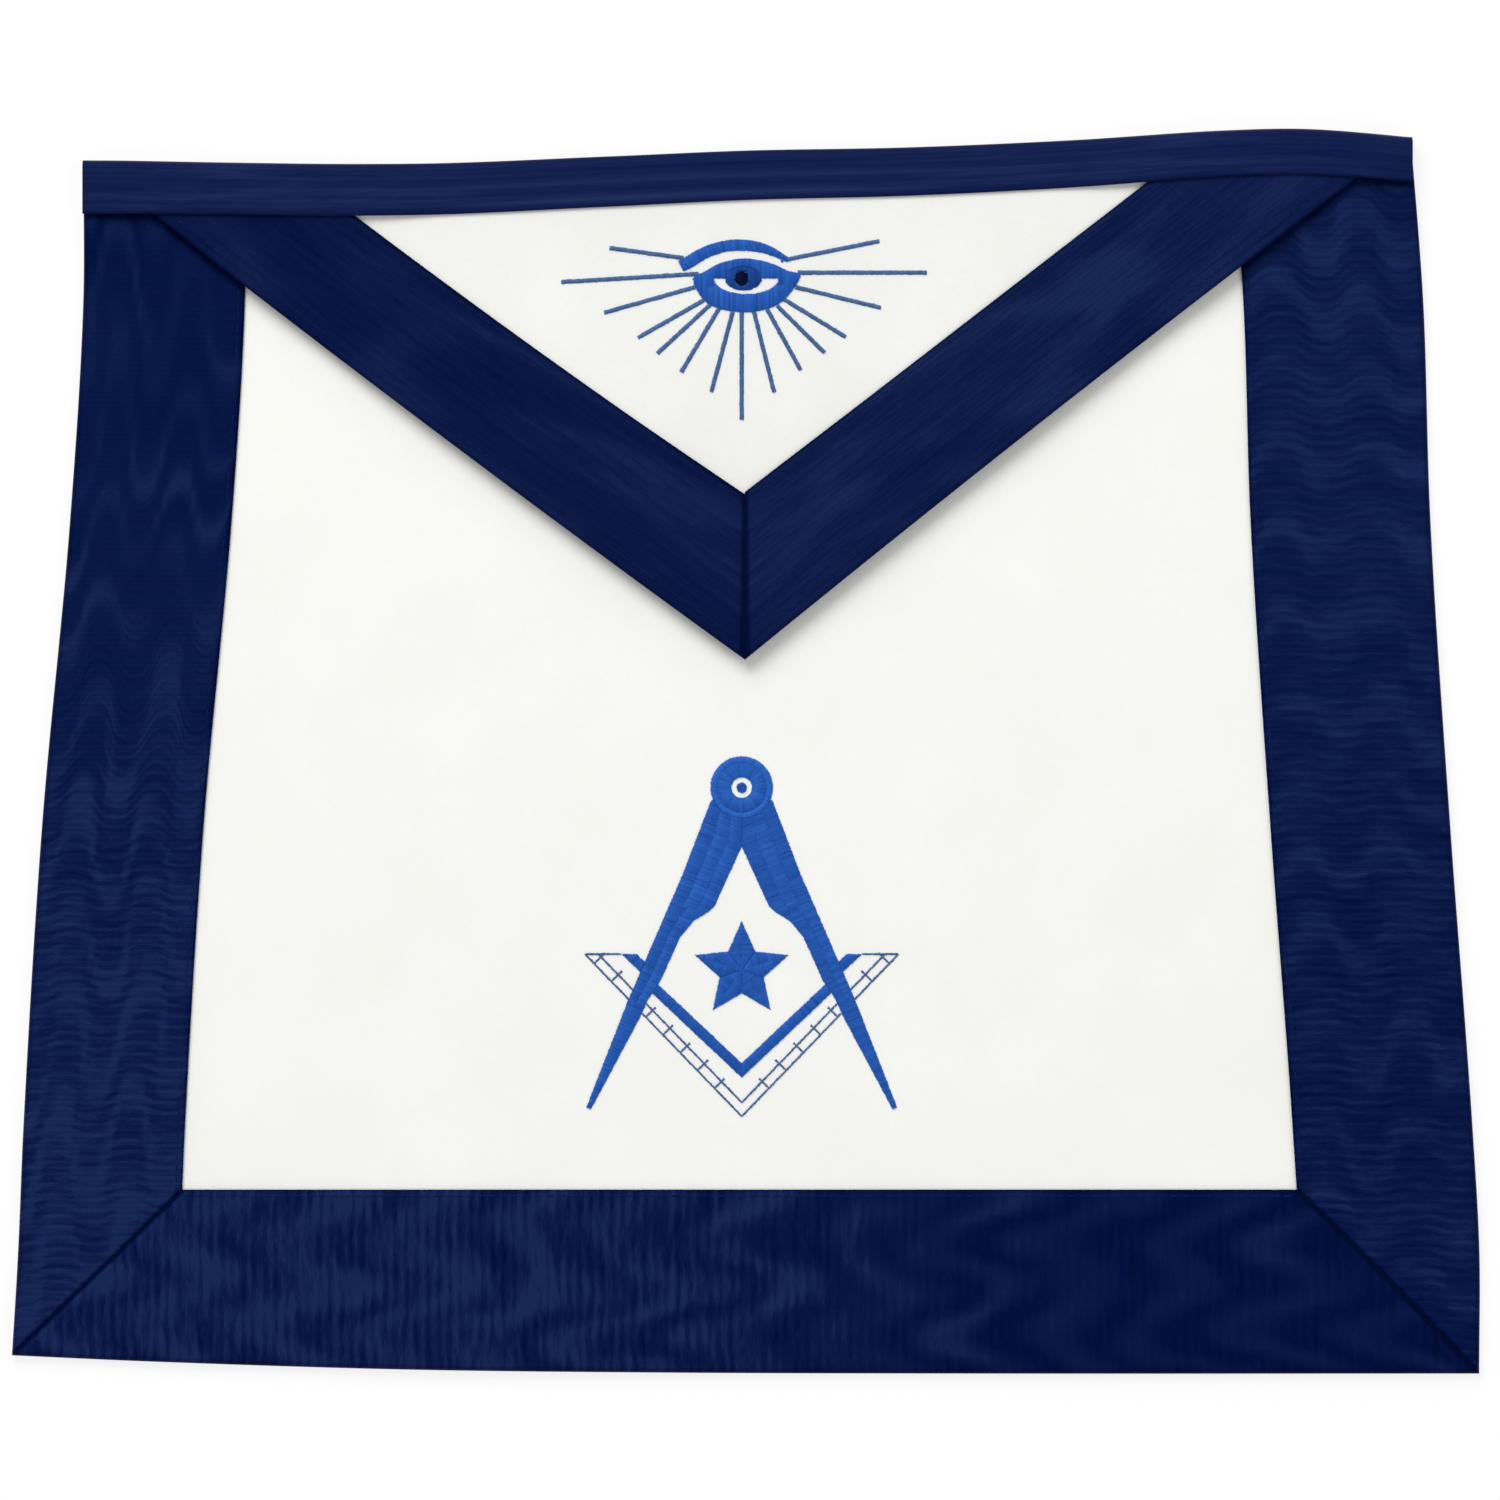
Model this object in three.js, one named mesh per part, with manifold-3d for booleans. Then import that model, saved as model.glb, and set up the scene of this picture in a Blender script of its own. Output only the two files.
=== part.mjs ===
// Lodge apron, lying flat with its face up
//
// A white leather-look panel, a wide ribbon folded round its two sides and its foot, a ribbon-edged flap
// that hangs point down from the waistband, and satin-stitch embroidery on the flap and on the panel.
// Millimetres. X runs across the apron, Y up it, Z out of the surface that it lies on. While it is built,
// x = 0 is the middle and y = 0 the bottom edge; at the end the group moves so that the middle of its
// underside is the origin.

import * as THREE from 'three';
import { mergeVertices } from 'three/addons/utils/BufferGeometryUtils.js';
import Module from 'manifold-3d';

const wasm = await Module();
wasm.setup();
const { lerp, smoothstep } = THREE.MathUtils;

// Outline of the apron
const HEIGHT = 355.6;
const TOP_WIDTH = 386.1;
const BOTTOM_WIDTH = 427;
const TOP_RISE = 9.1;
const BOTTOM_LIFT = 5.3;
const TOP_SHIFT = 0.75;

// Walls and clearances
const PANEL_THICK = 1.0;
const RIBBON_THICK = 1.0;
const THREAD_THICK = 0.8;
const GAP = 0.3;

// Ribbons
const BORDER_WIDTH = 50.8;
const TURNED_LEAF = 9;
const BAND_HEIGHT = 14.5;
const BAND_BACK = 14;
const FLAP_RIBBON = 37.6;
const FLAP_LAP = 12;
const BAND_FOLD = 1.8;

// Flap
const FLAP_DEPTH = 148.1;
const FLAP_TUCK = 5;
const FLAP_SPRING = 2;
const FLAP_SPRING_RUN = 70;
const FLAP_BOW = 1.6;

// How far the sheets take to settle beside whatever lifts them, and how much the band's ends sink
const SAG_RUN = 28;
const BAND_END_DROP = 2;

// Embroidered compasses and square, hung from the hinge
const EMBLEM_X = -0.95;
const HINGE_Y = 170.4;
const HINGE_RADIUS = 9.1;
const HINGE_HOLE = 3;
const PIVOT_RADIUS = 1.5;
const LEG_SPREAD = 45.6;
const LEG_DROP = 93.4;
const SQUARE_TOP = 48.4;
const SQUARE_POINT = 80.1;
const SQUARE_WIDTH = 3.1;
const SQUARE_REACH = 33.6;
const SCALE_POINT = 95.6;
const SCALE_REACH = 45.6;
const SCALE_BREADTH = 2.8;
const SCALE_LINE = 0.8;
const SCALE_FIRST = 11.4;
const SCALE_STEP = 7.2;
const SCALE_TICK = 1.4;
const STAR_DROP = 53.1;
const STAR_RADIUS = 14.3;

// Embroidered eye, hung from the waistband's top fold
const EYE_DROP = 37.3;
const EYE_WIDTH = 31;
const EYE_HEIGHT = 14.3;
const EYE_OPENING = 18.8;
const EYE_OPENING_DEPTH = 4.5;
const EYE_OPENING_SHIFT = 1.3;
const IRIS_WIDTH = 10.6;
const IRIS_HEIGHT = 7;
const IRIS_SHIFT = 0.5;
const PUPIL_RADIUS = 2;
const BROW_SPAN = 29;
const BROW_WIDTH = 3.3;
const RAY_REACH = 53.6;
const RAY_WIDTH = 1.5;

// Visible breadth of each border, as a share of the ribbon's width
const BORDER_SHOWN = { left: 0.925, right: 1.03, bottom: 1.053 };

// Sides: how much of the spread from top to bottom width each side has at a share of the height
const SIDE_ROWS = [
  { up: 0, left: 1, right: 1 },
  { up: 0.1, left: 0.9, right: 1 },
  { up: 0.2, left: 0.83, right: 0.9 },
  { up: 0.45, left: 0.57, right: 0.57 },
  { up: 0.7, left: 0.18, right: 0.28 },
  { up: 0.88, left: 0, right: 0.17 },
  { up: 1, left: 0, right: 0 },
];

// Top edge: rise over its middle as a share of TOP_RISE, at shares of the half width
const TOP_ROWS = [
  { across: -1, rise: -0.32 },
  { across: -0.5, rise: -0.42 },
  { across: -0.2, rise: -0.18 },
  { across: 0, rise: 0 },
  { across: 0.24, rise: 0.1 },
  { across: 0.5, rise: 0.34 },
  { across: 0.72, rise: 0.63 },
  { across: 0.84, rise: 0.68 },
  { across: 1, rise: 0.42 },
];

// Bottom edge: lift as a share of BOTTOM_LIFT, at shares of the half width
const BOTTOM_ROWS = [
  { across: -1, lift: 1 },
  { across: -0.81, lift: 0.66 },
  { across: -0.46, lift: 0.22 },
  { across: -0.1, lift: 0.05 },
  { across: 0.3, lift: 0 },
  { across: 1, lift: 0 },
];

// Waistband: its height as a share of BAND_HEIGHT, at shares of the half width
const BAND_ROWS = [
  { across: -1, high: 1.08 },
  { across: 0, high: 1 },
  { across: 1, high: 0.91 },
];

// Flap ribbon: its shown width as a share of FLAP_RIBBON, at shares of the way from point to band
const FLAP_RIBBON_ROWS = [
  { along: 0, wide: 1.02 },
  { along: 0.2, wide: 0.985 },
  { along: 0.5, wide: 0.96 },
  { along: 1, wide: 0.955 },
];

// Compass leg: outline as shares of LEG_SPREAD out from the hinge and of LEG_DROP down from it
const LEG_ROWS = [
  { out: 0.198, down: 0.04 },
  { out: 0.377, down: 0.268 },
  { out: 0.6, down: 0.519 },
  { out: 0.73, down: 0.666 },
  { out: 0.993, down: 0.995 },
  { out: 0.962, down: 1 },
  { out: 0.65, down: 0.715 },
  { out: 0.6, down: 0.66 },
  { out: 0.518, down: 0.6 },
  { out: 0.395, down: 0.466 },
  { out: 0.309, down: 0.415 },
  { out: 0.215, down: 0.387 },
  { out: 0.175, down: 0.369 },
  { out: 0, down: 0.182 },
  { out: 0, down: 0.04 },
];

// Eyelids: the almond's rim as shares of EYE_WIDTH across and EYE_HEIGHT up, round from the left corner
const EYELID_ROWS = [
  { across: -0.455, up: 0 },
  { across: -0.34, up: 0.15 },
  { across: -0.19, up: 0.32 },
  { across: 0.03, up: 0.41 },
  { across: 0.26, up: 0.32 },
  { across: 0.43, up: 0.16 },
  { across: 0.55, up: 0.06 },
  { across: 0.43, up: -0.36 },
  { across: 0.28, up: -0.59 },
  { across: 0.04, up: -0.69 },
  { across: -0.22, up: -0.61 },
  { across: -0.37, up: -0.4 },
];

// Brow: its middle line as shares of BROW_SPAN from the pupil, and its width as a share of BROW_WIDTH
const BROW_ROWS = [
  { across: -0.61, up: 0.125, wide: 1.05 },
  { across: -0.53, up: 0.165, wide: 1.1 },
  { across: -0.355, up: 0.265, wide: 1.05 },
  { across: -0.175, up: 0.322, wide: 1 },
  { across: -0.04, up: 0.335, wide: 1 },
  { across: 0.14, up: 0.322, wide: 0.92 },
  { across: 0.3, up: 0.272, wide: 0.72 },
  { across: 0.465, up: 0.185, wide: 0.42 },
];

// Rays: both ends from the pupil's centre, as shares of RAY_REACH
const RAY_ROWS = [
  { fromX: -0.321, fromY: 0.112, toX: -0.716, toY: 0.166 },
  { fromX: -0.252, fromY: 0.024, toX: -0.979, toY: -0.019 },
  { fromX: -0.271, fromY: -0.052, toX: -0.744, toY: -0.185 },
  { fromX: -0.222, fromY: -0.127, toX: -0.56, toY: -0.321 },
  { fromX: -0.174, fromY: -0.146, toX: -0.455, toY: -0.405 },
  { fromX: -0.121, fromY: -0.16, toX: -0.326, toY: -0.506 },
  { fromX: -0.048, fromY: -0.179, toX: -0.165, toY: -0.618 },
  { fromX: 0, fromY: -0.179, toX: 0, toY: -0.763 },
  { fromX: 0.066, fromY: -0.179, toX: 0.176, toY: -0.618 },
  { fromX: 0.134, fromY: -0.16, toX: 0.319, toY: -0.496 },
  { fromX: 0.19, fromY: -0.146, toX: 0.45, toY: -0.405 },
  { fromX: 0.224, fromY: -0.11, toX: 0.562, toY: -0.317 },
  { fromX: 0.302, fromY: -0.049, toX: 0.757, toY: -0.16 },
  { fromX: 0.302, fromY: 0.032, toX: 1, toY: 0.032 },
  { fromX: 0.243, fromY: 0.103, toX: 0.746, toY: 0.203 },
];

// Sides of a round outline, large and small
const ROUND_SIDES = 36;
const SMALL_SIDES = 16;
const EYE_SIDES = 16;
const RIM_SIDES = 36;

// Sizes that follow from the ones above
const LEAF_LIFT = RIBBON_THICK + GAP;
const FLAP_CORE = Math.max(PANEL_THICK, RIBBON_THICK);
const BORDER_FOLD = (PANEL_THICK + 2 * GAP) / 2 + RIBBON_THICK;
const FLAP_FOLD = (FLAP_CORE + GAP + RIBBON_THICK) / 2;
const PANEL_INSET = BORDER_FOLD + GAP / 2;
const TOP_INSET = BAND_FOLD + GAP;
const BOTTOM_BORDER = BORDER_WIDTH * BORDER_SHOWN.bottom;
const SLIT = GAP * 0.75;

const RIBBON = new THREE.MeshStandardMaterial({ color: 0x0c1c50, roughness: 0.55 });
const LEATHER = new THREE.MeshStandardMaterial({ color: 0xf5f6f0, roughness: 0.6 });
const THREAD = new THREE.MeshStandardMaterial({ color: 0x1f55bc, roughness: 0.45 });
const DARK_THREAD = new THREE.MeshStandardMaterial({ color: 0x050b26, roughness: 0.5 });

// Smooth curve through one column of a table
function column(rows, at, value) {
  const through = new THREE.CubicInterpolant(rows.map((row) => row[at]), rows.map((row) => row[value]), 1);
  return (where) => through.evaluate(where)[0];
}

const spread = { left: column(SIDE_ROWS, 'up', 'left'), right: column(SIDE_ROWS, 'up', 'right') };
const topRise = column(TOP_ROWS, 'across', 'rise');
const bottomRise = column(BOTTOM_ROWS, 'across', 'lift');
const bandShare = column(BAND_ROWS, 'across', 'high');
const flapRibbonShare = column(FLAP_RIBBON_ROWS, 'along', 'wide');

// Outline: the side edges at a height, the top and bottom edges at a place across
function sideX(side, y) {
  const share = (side < 0 ? spread.left : spread.right)(y / HEIGHT);
  return side * lerp(TOP_WIDTH, BOTTOM_WIDTH, share) / 2 + TOP_SHIFT * (y / HEIGHT);
}

function topY(x) {
  return HEIGHT + TOP_RISE * topRise(2 * x / TOP_WIDTH);
}

function bottomY(x) {
  return BOTTOM_LIFT * bottomRise(2 * x / BOTTOM_WIDTH);
}

function bandTaper(x) {
  return bandShare(2 * x / TOP_WIDTH);
}

function bandHeight(x) {
  return BAND_HEIGHT * bandTaper(x);
}

function borderWidth(side) {
  return BORDER_WIDTH * (side < 0 ? BORDER_SHOWN.left : BORDER_SHOWN.right);
}

function sideInset(side, x, y) {
  return side * (sideX(side, y) - x);
}

// Heights of the layers over the surface that the apron lies on
function settled(inset, from) {
  return smoothstep(inset, from, from + SAG_RUN);
}

function overBand(x, y) {
  return LEAF_LIFT * (1 - settled(topY(x) - y, BAND_BACK * bandTaper(x)));
}

function overSideLeaves(x, y) {
  return settled(sideInset(-1, x, y), TURNED_LEAF) * settled(sideInset(1, x, y), TURNED_LEAF);
}

function bodyUnder(x, y) {
  const level = overSideLeaves(x, y) * settled(y - bottomY(x), TURNED_LEAF);
  return LEAF_LIFT * (1 - level) + overBand(x, y);
}

function bodyTop(x, y) {
  return bodyUnder(x, y) + PANEL_THICK;
}

function borderUnder(x, y) {
  return bodyTop(x, y) + GAP;
}

function flapUnder(x, y) {
  const besideLeft = settled(sideInset(-1, x, y), borderWidth(-1) + 1);
  const besideRight = settled(sideInset(1, x, y), borderWidth(1) + 1);
  const lifts = 1 - overSideLeaves(x, y) + 1 - besideLeft * besideRight;
  const spring = FLAP_SPRING * smoothstep(topY(x) - bandHeight(x) - y, 0, FLAP_SPRING_RUN);
  return LEAF_LIFT + PANEL_THICK + GAP + LEAF_LIFT * lifts + spring;
}

function flapTop(x, y) {
  return flapUnder(x, y) + PANEL_THICK;
}

function flapRibbonUnder(x, y) {
  return flapUnder(x, y) + FLAP_CORE + GAP;
}

// Flap: its free edges run from the top corners to the point; inset is measured square to the edge
const POINT_Y = HEIGHT - FLAP_DEPTH;

function flapEdgeY(side, x, inset) {
  const cornerX = sideX(side, HEIGHT);
  const cornerY = topY(cornerX);
  const along = x / cornerX;
  const steep = Math.hypot(cornerX, cornerY - POINT_Y) / Math.abs(cornerX);
  const bow = side * FLAP_BOW * 4 * along * (1 - along);
  return lerp(POINT_Y, cornerY, along) + bow + inset * flapRibbonShare(along) * steep;
}

// Where an edge of the flap reaches a given depth inside the waistband
function flapMeetsBand(side, inset, tuck) {
  let near = 0;
  let far = Math.abs(sideX(side, HEIGHT));
  for (let step = 0; step < 30; step += 1) {
    const middle = (near + far) / 2;
    const x = side * middle;
    const below = flapEdgeY(side, x, inset) < topY(x) - bandHeight(x) + tuck;
    near = below ? middle : near;
    far = below ? far : middle;
  }
  return side * near;
}

function flapPoint(side, inset, along) {
  const x = lerp(side * SLIT, flapMeetsBand(side, inset, FLAP_TUCK), along);
  return [x, flapEdgeY(side, x, inset)];
}

const flapInnerX = { left: flapMeetsBand(-1, FLAP_RIBBON, 0), right: flapMeetsBand(1, FLAP_RIBBON, 0) };
const flapOuterX = { left: flapMeetsBand(-1, 0, FLAP_TUCK), right: flapMeetsBand(1, 0, FLAP_TUCK) };

function bandUnder(x) {
  const side = x < 0 ? 'left' : 'right';
  const overRibbon = 1 - smoothstep(Math.abs(flapInnerX[side]) - Math.abs(x), 1, 1 + SAG_RUN);
  const endX = Math.abs(sideX(Math.sign(x) || 1, HEIGHT));
  const pastFlap = smoothstep(Math.abs(x), Math.abs(flapOuterX[side]) + 1, endX);
  const lowered = BAND_END_DROP * pastFlap;
  const seam = topY(x) - bandHeight(x);
  return flapUnder(x, seam) + FLAP_CORE + GAP + LEAF_LIFT * overRibbon - lowered;
}

// A closed mesh with only its positions, its shared corners merged and its faces turned out
function closed(geometry) {
  geometry.deleteAttribute('normal');
  geometry.deleteAttribute('uv');
  const merged = mergeVertices(geometry, 1e-3);
  const { position } = merged.attributes;
  const index = merged.index.array;
  const [a, b, c] = [new THREE.Vector3(), new THREE.Vector3(), new THREE.Vector3()];
  let volume = 0;
  for (let corner = 0; corner < index.length; corner += 3) {
    a.fromBufferAttribute(position, index[corner]);
    b.fromBufferAttribute(position, index[corner + 1]);
    c.fromBufferAttribute(position, index[corner + 2]);
    volume += a.dot(b.cross(c));
  }
  if (volume < 0) {
    for (let corner = 0; corner < index.length; corner += 3) {
      [index[corner], index[corner + 1]] = [index[corner + 1], index[corner]];
    }
  }
  return merged;
}

// A block whose three directions follow two lists of stations and the two faces of a wall
function wall(acrossStations, alongStations, place) {
  const across = acrossStations.length - 1;
  const along = alongStations.length - 1;
  const geometry = new THREE.BoxGeometry(1, 1, 1, across, along, 1);
  const { position } = geometry.attributes;
  for (let vertex = 0; vertex < position.count; vertex += 1) {
    const station = acrossStations[Math.round((position.getX(vertex) + 0.5) * across)];
    const share = alongStations[Math.round((position.getY(vertex) + 0.5) * along)];
    position.setXYZ(vertex, ...place(station, share, position.getZ(vertex) > 0));
  }
  return closed(geometry);
}

function evenStations(count) {
  return Array.from({ length: count + 1 }, (_, index) => index / count);
}

// Shares of a length, close together where the sheets settle beside each end
function settlingStations(length, firstLeaf, lastLeaf, middles) {
  const quarters = [0, 0.25, 0.5, 0.75, 1];
  const first = [0, ...quarters.map((quarter) => (firstLeaf + quarter * SAG_RUN) / length)];
  const last = [0, ...quarters.map((quarter) => (lastLeaf + quarter * SAG_RUN) / length)];
  const far = last.map((share) => 1 - share).reverse();
  const start = first.at(-1);
  const end = far[0];
  const middle = evenStations(middles).slice(1, -1).map((share) => lerp(start, end, share));
  return [...first, ...middle, ...far];
}

// A ribbon laid flat, folded under along its outer edge, with a turned leaf below
function foldedRibbon({ upper, lower, fold, along, place, upperUnder, lowerUnder }) {
  const turns = [0.25, 0.5, 0.75];
  const stations = [
    ...upper.map((inset) => ({ inset, turn: 0 })),
    ...turns.map((share) => ({ inset: fold, turn: share * Math.PI })),
    ...lower.map((inset) => ({ inset, turn: Math.PI })),
  ];
  const middle = fold - RIBBON_THICK / 2;
  return wall(stations, along, ({ inset, turn }, share, outside) => {
    const off = outside ? RIBBON_THICK / 2 : -RIBBON_THICK / 2;
    const [x, y] = place(inset - (middle + off) * Math.sin(turn), share);
    const high = upperUnder(x, y) + RIBBON_THICK / 2;
    const low = lowerUnder(x, y) + RIBBON_THICK / 2;
    return [x, y, (high + low) / 2 + ((high - low) / 2 + off) * Math.cos(turn)];
  });
}

// The white sheet of the apron
function bodyPanel() {
  const middles = 6;
  const u = settlingStations(TOP_WIDTH, TURNED_LEAF, TURNED_LEAF, middles);
  const v = settlingStations(HEIGHT, TURNED_LEAF, BAND_BACK, middles);
  return wall(u, v, (across, up, top) => {
    let x = 0;
    let y = up * HEIGHT;
    for (let pass = 0; pass < 4; pass += 1) {
      x = lerp(sideX(-1, y) + PANEL_INSET, sideX(1, y) - PANEL_INSET, across);
      y = lerp(bottomY(x) + PANEL_INSET, topY(x) - TOP_INSET, up);
    }
    return [x, y, top ? bodyTop(x, y) : bodyUnder(x, y)];
  });
}

function borderInsets(width) {
  const shares = [1, 0.75, 0.5, 0.25, 0];
  return [width, ...shares.map((share) => TURNED_LEAF + share * SAG_RUN), BORDER_FOLD];
}

const LEAF_INSETS = [BORDER_FOLD, (BORDER_FOLD + TURNED_LEAF) / 2, TURNED_LEAF];

// Height of the mitre line over the bottom edge, at a share of the border's breadth
function mitreY(side, share) {
  return lerp(bottomY(side * BOTTOM_WIDTH / 2), BOTTOM_BORDER, share);
}

function sideBorder(side) {
  const width = borderWidth(side);
  return foldedRibbon({
    upper: borderInsets(width),
    lower: LEAF_INSETS,
    fold: BORDER_FOLD,
    along: settlingStations(HEIGHT, TURNED_LEAF, BAND_BACK, 8),
    upperUnder: borderUnder,
    lowerUnder: overBand,
    place: (inset, share) => {
      const start = mitreY(side, inset / width) + SLIT;
      const end = topY(sideX(side, HEIGHT) - side * inset) - TOP_INSET;
      const y = lerp(start, end, share);
      return [sideX(side, y) - side * inset, y];
    },
  });
}

function bottomBorder() {
  return foldedRibbon({
    upper: borderInsets(BOTTOM_BORDER),
    lower: LEAF_INSETS,
    fold: BORDER_FOLD,
    along: settlingStations(BOTTOM_WIDTH, TURNED_LEAF, TURNED_LEAF, 8),
    upperUnder: borderUnder,
    lowerUnder: overBand,
    place: (inset, share) => {
      const up = inset / BOTTOM_BORDER;
      const ends = [-1, 1].map((side) => {
        const mitre = up * borderWidth(side) + SLIT;
        return sideX(side, mitreY(side, up)) - side * mitre;
      });
      const x = lerp(ends[0], ends[1], share);
      return [x, lerp(bottomY(x), BOTTOM_BORDER, up)];
    },
  });
}

function flapPanel() {
  const across = [0.21, 0.43, 0.64, 0.78, 0.84, 0.9, 0.95, 1];
  const u = [...across.map((share) => -share).reverse(), 0, ...across];
  const blunt = 0.015;
  const inset = FLAP_RIBBON - FLAP_LAP;
  return wall(u, evenStations(12), (share, up, top) => {
    const along = lerp(blunt, 1, up);
    const left = flapPoint(-1, inset, along);
    const right = flapPoint(1, inset, along);
    const x = lerp(left[0], right[0], (share + 1) / 2);
    const y = lerp(left[1], right[1], (share + 1) / 2);
    return [x, y, top ? flapTop(x, y) : flapUnder(x, y)];
  });
}

function flapBorder(side) {
  const lap = FLAP_RIBBON - FLAP_LAP;
  const thirds = [1 / 3, 2 / 3];
  return foldedRibbon({
    upper: [FLAP_RIBBON, lap, ...thirds.map((share) => lerp(lap, FLAP_FOLD, share)), FLAP_FOLD],
    lower: [FLAP_FOLD, ...thirds.map((share) => lerp(FLAP_FOLD, lap - GAP, share)), lap - GAP],
    fold: FLAP_FOLD,
    along: evenStations(16),
    upperUnder: flapRibbonUnder,
    lowerUnder: flapUnder,
    place: (inset, share) => flapPoint(side, inset, share),
  });
}

function waistband() {
  return foldedRibbon({
    upper: [1, 0.65, 0.3, 0].map((share) => lerp(BAND_FOLD, BAND_HEIGHT, share)),
    lower: [0, 0.5, 1].map((share) => lerp(BAND_FOLD, BAND_BACK, share)),
    fold: BAND_FOLD,
    along: evenStations(34),
    upperUnder: bandUnder,
    lowerUnder: () => 0,
    place: (inset, share) => {
      const x = lerp(sideX(-1, HEIGHT), sideX(1, HEIGHT), share);
      return [x, topY(x) - inset * bandTaper(x)];
    },
  });
}

// Embroidery: flat plates of thread laid on a sheet
function plate(points, holes = []) {
  const shape = new THREE.Shape(points);
  shape.holes = holes.map((hole) => new THREE.Path(hole));
  return closed(new THREE.ExtrudeGeometry(shape, { depth: THREAD_THICK, bevelEnabled: false }));
}

function laidOn(geometry, surface) {
  const { position } = geometry.attributes;
  for (let vertex = 0; vertex < position.count; vertex += 1) {
    const height = surface(position.getX(vertex), position.getY(vertex)) + GAP;
    position.setZ(vertex, position.getZ(vertex) + height);
  }
  return geometry;
}

function solid(geometry) {
  const mesh = new wasm.Mesh({
    numProp: 3,
    vertProperties: new Float32Array(geometry.attributes.position.array),
    triVerts: new Uint32Array(geometry.index.array),
  });
  return new wasm.Manifold(mesh);
}

function surfaceOf(body) {
  const mesh = body.getMesh();
  const geometry = new THREE.BufferGeometry();
  geometry.setAttribute('position', new THREE.BufferAttribute(mesh.vertProperties, 3));
  geometry.setIndex(new THREE.BufferAttribute(mesh.triVerts, 1));
  return geometry;
}

function round(centre, radiusX, radiusY, count) {
  return evenStations(count).slice(0, -1).map((share) => new THREE.Vector2(
    centre.x + radiusX * Math.cos(share * 2 * Math.PI),
    centre.y + radiusY * Math.sin(share * 2 * Math.PI),
  ));
}

// An outline with every edge moved out by the same amount
function grown(points, by) {
  const turned = THREE.ShapeUtils.isClockWise(points) ? -1 : 1;
  return points.map((point, index) => {
    const before = points.at(index - 1);
    const after = points[(index + 1) % points.length];
    const into = point.clone().sub(before).normalize();
    const out = after.clone().sub(point).normalize();
    const normal = new THREE.Vector2(into.y + out.y, -into.x - out.x).multiplyScalar(turned);
    const stretch = 2 / Math.max(normal.lengthSq(), 0.3);
    return point.clone().addScaledVector(normal, by * stretch);
  });
}

// A straight strip of thread between two points, as an outline
function strip(from, to, width) {
  const half = to.clone().sub(from).normalize().multiplyScalar(width / 2);
  const aside = new THREE.Vector2(-half.y, half.x);
  return [from.clone().add(aside), from.clone().sub(aside), to.clone().sub(aside), to.clone().add(aside)];
}

const HINGE = new THREE.Vector2(EMBLEM_X, HINGE_Y);
const PUPIL = new THREE.Vector2(EMBLEM_X, HEIGHT - EYE_DROP);

function underHinge(out, down) {
  return new THREE.Vector2(HINGE.x + out, HINGE.y - down);
}

function legOutline(side) {
  return LEG_ROWS.map(({ out, down }) => underHinge(side * (out * LEG_SPREAD + GAP / 2), down * LEG_DROP));
}

function compassLeg(side) {
  const clearOfHinge = round(HINGE, HINGE_RADIUS + GAP, HINGE_RADIUS + GAP, ROUND_SIDES);
  return surfaceOf(solid(plate(legOutline(side))).subtract(solid(plate(clearOfHinge))));
}

// What the compass legs leave of a piece of the square: left, middle and right
function besideLegs(body) {
  const legs = [-1, 1].map((side) => solid(plate(grown(legOutline(side), GAP))));
  const clear = legs.reduce((rest, leg) => rest.subtract(leg), body);
  const pieces = clear.decompose().map((piece) => ({ piece, box: piece.boundingBox() }));
  const middleOf = ({ box }) => (box.min[0] + box.max[0]) / 2 - HINGE.x;
  const pick = (wanted) => pieces.filter((entry) => wanted(middleOf(entry)))
    .sort((one, other) => other.piece.volume() - one.piece.volume())[0].piece;
  const legAt = LEG_SPREAD * 0.4;
  return {
    left: surfaceOf(pick((middle) => middle < -legAt)),
    middle: surfaceOf(pick((middle) => Math.abs(middle) < legAt)),
    right: surfaceOf(pick((middle) => middle > legAt)),
  };
}

// The square's solid inner edge: a thick V cut off level at the top. Its hooks outside the legs lie
// further in than its arms between them, by the edge's own width
const SQUARE_SLOPE = (SQUARE_POINT - SQUARE_TOP) / SQUARE_REACH;
const SQUARE_THICK = SQUARE_WIDTH * Math.hypot(1, SQUARE_SLOPE);
const HOOK_IN = SQUARE_WIDTH;
const HOOK_OUTER = SQUARE_REACH + SQUARE_THICK / SQUARE_SLOPE - HOOK_IN;

function squareEdge(inward) {
  const inner = SQUARE_REACH - inward;
  const outer = inner + SQUARE_THICK / SQUARE_SLOPE;
  const point = SQUARE_POINT - inward * SQUARE_SLOPE;
  return solid(plate([
    underHinge(-inner, SQUARE_TOP),
    underHinge(-outer, SQUARE_TOP),
    underHinge(0, point + SQUARE_THICK),
    underHinge(outer, SQUARE_TOP),
    underHinge(inner, SQUARE_TOP),
    underHinge(0, point),
  ]));
}

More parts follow.
